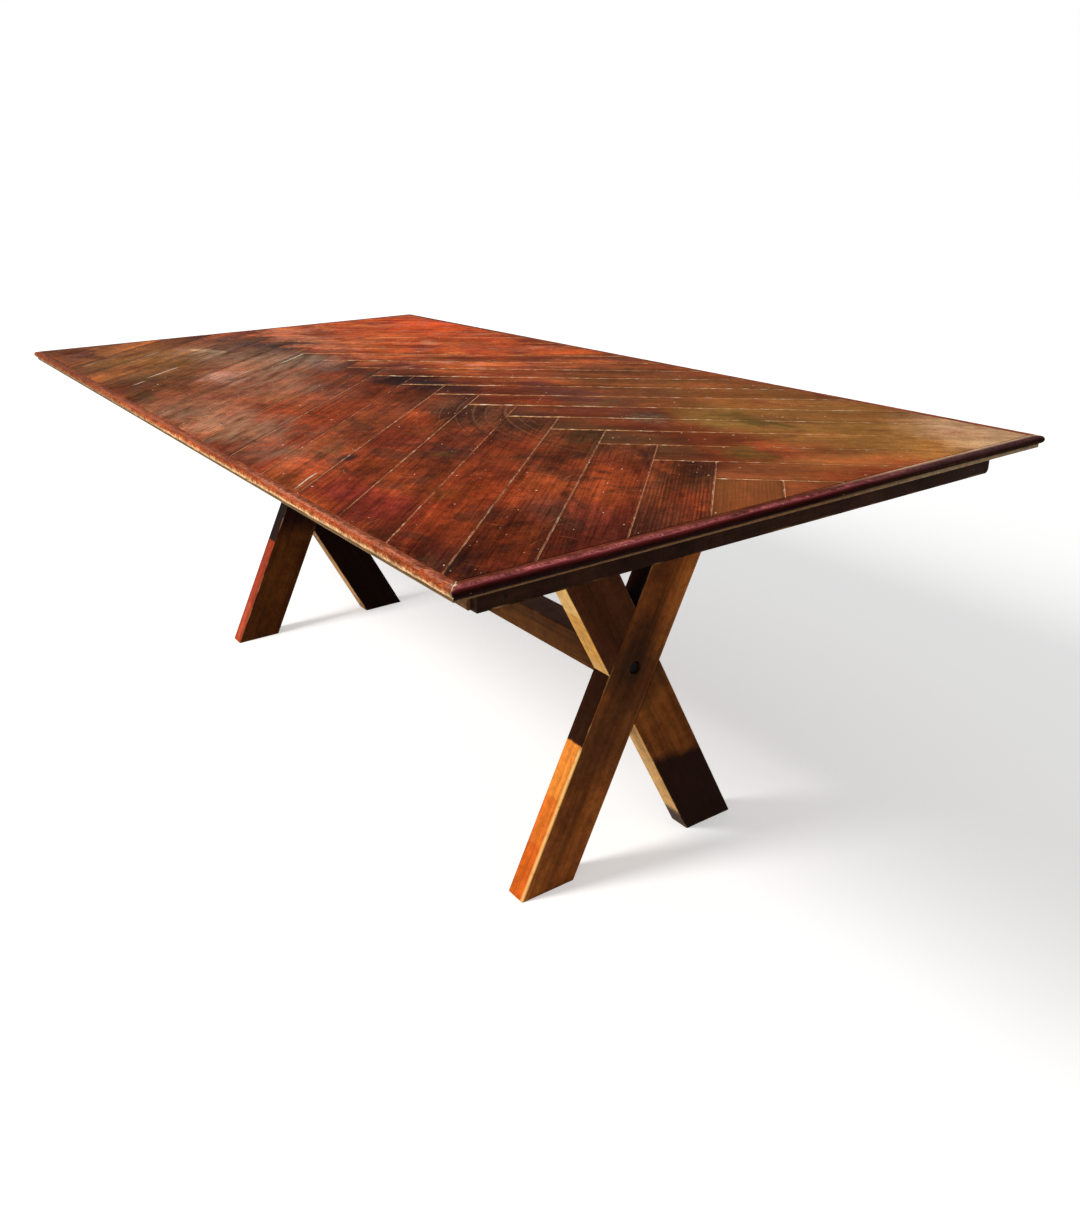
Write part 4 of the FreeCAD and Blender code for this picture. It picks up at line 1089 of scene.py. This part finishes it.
def nosing_profile():
    """Points (outward, up) of the moulding from its inner foot round to its inner top."""
    radius = BOARD_THICKNESS / 2
    straight = NOSING_WIDTH - radius
    points = [(0.0, 0.0), (straight, 0.0)]
    for step in range(1, NOSE_STEPS):
        angle = -math.pi / 2 + math.pi * step / NOSE_STEPS
        points.append((straight + radius * math.cos(angle), radius + radius * math.sin(angle)))
    points += [
        (straight, BOARD_THICKNESS),
        (straight - 0.003, BOARD_THICKNESS - 0.0001),
        (straight - 0.006, BOARD_THICKNESS - 0.0004),
        (0.0022, BOARD_THICKNESS - 0.0002),
        (0.0012, BOARD_THICKNESS - 0.0004),
        (0.0005, BOARD_THICKNESS - 0.0009),
        (0.0, BOARD_THICKNESS - 0.0016),
    ]
    return points


def worn(point):
    """How far a point of the moulding has been knocked back."""
    ripple = noise.noise(point * 22.0) * 0.5 + 0.5
    knock = max(0.0, noise.noise(point * 70.0) - 0.35)
    return DENT * (0.25 * ripple + 1.6 * knock)


def nosing_mesh(name, node, length, turn, offset):
    """One mitred moulding, rounded and dented, in the place of its CAD node."""
    profile = nosing_profile()
    count = max(2, round(length / NOSING_SEGMENT))
    mesh = bmesh.new()
    rings = []
    centre = Vector((NOSING_WIDTH * 0.3, BOARD_THICKNESS / 2))
    for i in range(count + 1):
        ring = []
        for out, up in profile:
            half = length / 2 - NOSING_WIDTH + out
            spot = turn @ Vector((half * (2.0 * i / count - 1.0), offset + out, TOP - BOARD_THICKNESS + up))
            inward = turn @ Vector((0.0, centre.x - out, centre.y - up)).normalized()
            if out > DENTED_FROM:
                spot = spot + inward * worn(spot)
            ring.append(mesh.verts.new(spot))
        rings.append(ring)
    for near, far in zip(rings, rings[1:]):
        for j in range(len(profile)):
            k = (j + 1) % len(profile)
            mesh.faces.new((near[j], near[k], far[k], far[j]))
    mesh.faces.new(list(reversed(rings[0])))
    mesh.faces.new(rings[-1])
    bmesh.ops.recalc_face_normals(mesh, faces=mesh.faces)
    data = bpy.data.meshes.new(name)
    mesh.to_mesh(data)
    mesh.free()
    for face in data.polygons:
        face.use_smooth = len(face.vertices) == 4
    piece = add_object(name, data)
    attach(piece, "root")
    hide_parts(node)
    return piece


def add_object(name, data):
    made = bpy.data.objects.new(name, data)
    bpy.context.scene.collection.objects.link(made)
    return made


def dress(piece, material):
    """Give every slot of a piece one material."""
    if not piece.material_slots:
        piece.data.materials.append(material)
    for slot in piece.material_slots:
        slot.material = material


def make_nosings():
    sides = {
        "right": (HALF_LENGTH, HALF_WIDTH, 0.0, "x", SIDE_BANDS, None),
        "left": (HALF_LENGTH, HALF_WIDTH, 180.0, "x", SIDE_BANDS, None),
        "front": (HALF_WIDTH, HALF_LENGTH, -90.0, "y", END_BANDS, END_BANDS_RIGHT),
        "back": (HALF_WIDTH, HALF_LENGTH, 90.0, "y", END_BANDS, None),
    }
    for seed, (side, (half, reach, angle, grain, bands, bands_right)) in enumerate(sides.items()):
        turn = Matrix.Rotation(math.radians(angle), 3, "Z")
        piece = nosing_mesh(f"moulding_{side}", f"nosing_{side}", 2 * half, turn, reach - NOSING_WIDTH)
        dress(piece, nosing_wood(f"nosing_wood_{side}", grain, bands, bands_right, 3.0 + 11.0 * seed))


# ------------ materials on the CAD nodes


def dress_timber(node, grain_axis, tones, seed):
    dress(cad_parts[node], box_timber(node, grain_axis, tones, seed))


def dress_nodes():
    boards = board_wood()
    bright = steel("zinc_plated_steel", 0.62, (0.16, 0.09, 0.05))
    # Nearly black steel: stain on the nails, painted shade of the deep holes on the crossing bolts and
    # washers.
    dark = steel("dark_steel_and_hole_shade", 0.007, (0.006, 0.004, 0.003))
    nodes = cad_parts
    dress(nodes["backing_panel"], plywood())
    dress_timber("stretcher", "x", STRETCHER_TONES, 31.0)
    for name, wood in make_leg_woods().items():
        dress(nodes[name], wood)
    for seed, end in enumerate(("front", "back")):
        dress_timber(f"{end}_trestle_batten", "y", RAIL_TONES, 51.0 + seed)
        dress_timber(f"{end}_apron", "y", APRON_TONES, 71.0 + seed)
    for seed, rail in enumerate(("left_rail", "right_rail")):
        dress_timber(rail, "x", RAIL_TONES, 61.0 + seed)
    dress_timber("centre_batten", "y", RAIL_TONES, 81.0)
    for name, node in nodes.items():
        if "board" in name:
            dress(node, boards)
    # the crossing bolts' and washers' near-black is painted shade of their holes
    for name in ("crossing_bolts", "crossing_washers", "apron_nails"):
        dress(nodes[name], dark)
    for name in ("leg_bolts", "leg_bolt_washers", "leg_bolt_nuts", "barrel_nuts", "panel_screws"):
        dress(nodes[name], bright)


# ------------ floor, light and camera

# the camera that was fitted to the photograph
IMAGE_HEIGHT = 1213
SENSOR = 36.0
FOCAL_PIXELS = 1066.908
CAMERA_PLACE = Vector((1.974518, -1.060273, 1.170281))
CAMERA_YAW = 2.5425007
CAMERA_PITCH = -0.3893156
CAMERA_ROLL = -0.0217409

WORLD_FILL = 0.42
FLOOR_REACH = 30.0
# how bright the floor glows to the camera under the table and away from it, and where it changes
FLOOR_GLOW_NEAR = 0.42
FLOOR_GLOW_FAR = 0.8
GLOW_START = 1.4
GLOW_END = 4.5

KEY_PLACE = (-0.8, -3.6, 3.4)
KEY_AIM = (0.0, 0.0, 0.4)
KEY_SIZE = 1.4
KEY_POWER = 205.0
KEY_COLOUR = (1.0, 0.985, 0.96)


def make_camera():
    data = bpy.data.cameras.new("camera")
    data.sensor_width = SENSOR
    data.lens = SENSOR * FOCAL_PIXELS / IMAGE_HEIGHT
    data.clip_start = 0.05
    data.clip_end = 100.0
    forward = Vector((
        math.cos(CAMERA_PITCH) * math.cos(CAMERA_YAW),
        math.cos(CAMERA_PITCH) * math.sin(CAMERA_YAW),
        math.sin(CAMERA_PITCH),
    ))
    right = forward.cross(Vector((0.0, 0.0, 1.0))).normalized()
    up = right.cross(forward)
    rolled_right = math.cos(CAMERA_ROLL) * right + math.sin(CAMERA_ROLL) * up
    rolled_up = -math.sin(CAMERA_ROLL) * right + math.cos(CAMERA_ROLL) * up
    camera = add_object("camera", data)
    turn = Matrix((rolled_right, rolled_up, -forward)).transposed().to_4x4()
    camera.matrix_world = Matrix.Translation(CAMERA_PLACE) @ turn
    bpy.context.scene.camera = camera


def make_key_light():
    data = bpy.data.lights.new("key", "AREA")
    data.shape = "DISK"
    data.size = KEY_SIZE
    data.energy = KEY_POWER
    data.color = KEY_COLOUR
    lamp = add_object("key", data)
    direction = Vector(KEY_AIM) - Vector(KEY_PLACE)
    lamp.location = KEY_PLACE
    lamp.rotation_mode = "QUATERNION"
    lamp.rotation_quaternion = direction.to_track_quat("-Z", "Y")


def backdrop_rays(g):
    """1 for the rays that see the backdrop itself: camera, reflection and glass."""
    ray = g.node("ShaderNodeLightPath").outputs
    seen = g.greater(ray["Is Camera Ray"], ray["Is Glossy Ray"])
    return g.greater(seen, ray["Is Transmission Ray"])


def make_world():
    """Soft light all round, and a white backdrop."""
    g = Graph(bpy.data.worlds.new("studio"))
    bpy.context.scene.world = g.owner
    inputs = g.tree.nodes["Background"].inputs
    g.feed(inputs["Strength"], g.choose(backdrop_rays(g), WORLD_FILL, 1.0))
    g.feed(inputs["Color"], (1.0, 1.0, 1.0))


def floor_paint():
    """Plain grey to the light that falls on it, and white to the camera."""
    g = Graph(bpy.data.materials.new("pale_floor"))
    inputs = g.tree.nodes["Principled BSDF"].inputs
    glow = g.span(g.length(g.point), GLOW_START, GLOW_END, FLOOR_GLOW_NEAR, FLOOR_GLOW_FAR)
    g.feed(inputs["Emission Color"], (1.0, 1.0, 1.0))
    g.feed(inputs["Emission Strength"], g.mul(backdrop_rays(g), glow))
    g.colour = (0.8, 0.8, 0.8)
    return g.finish(0.9, gloss=0.0)


def make_floor():
    corners = [(FLOOR_REACH * i, FLOOR_REACH * j, 0.0) for i, j in ((-1, -1), (1, -1), (1, 1), (-1, 1))]
    data = bpy.data.meshes.new("floor")
    data.from_pydata(corners, [], [(0, 1, 2, 3)])
    floor = add_object("floor", data)
    data.materials.append(floor_paint())


def make_stage():
    make_world()
    make_floor()
    make_key_light()
    make_camera()
    bpy.context.scene.view_settings.view_transform = "Standard"


make_nosings()
dress_nodes()
make_stage()
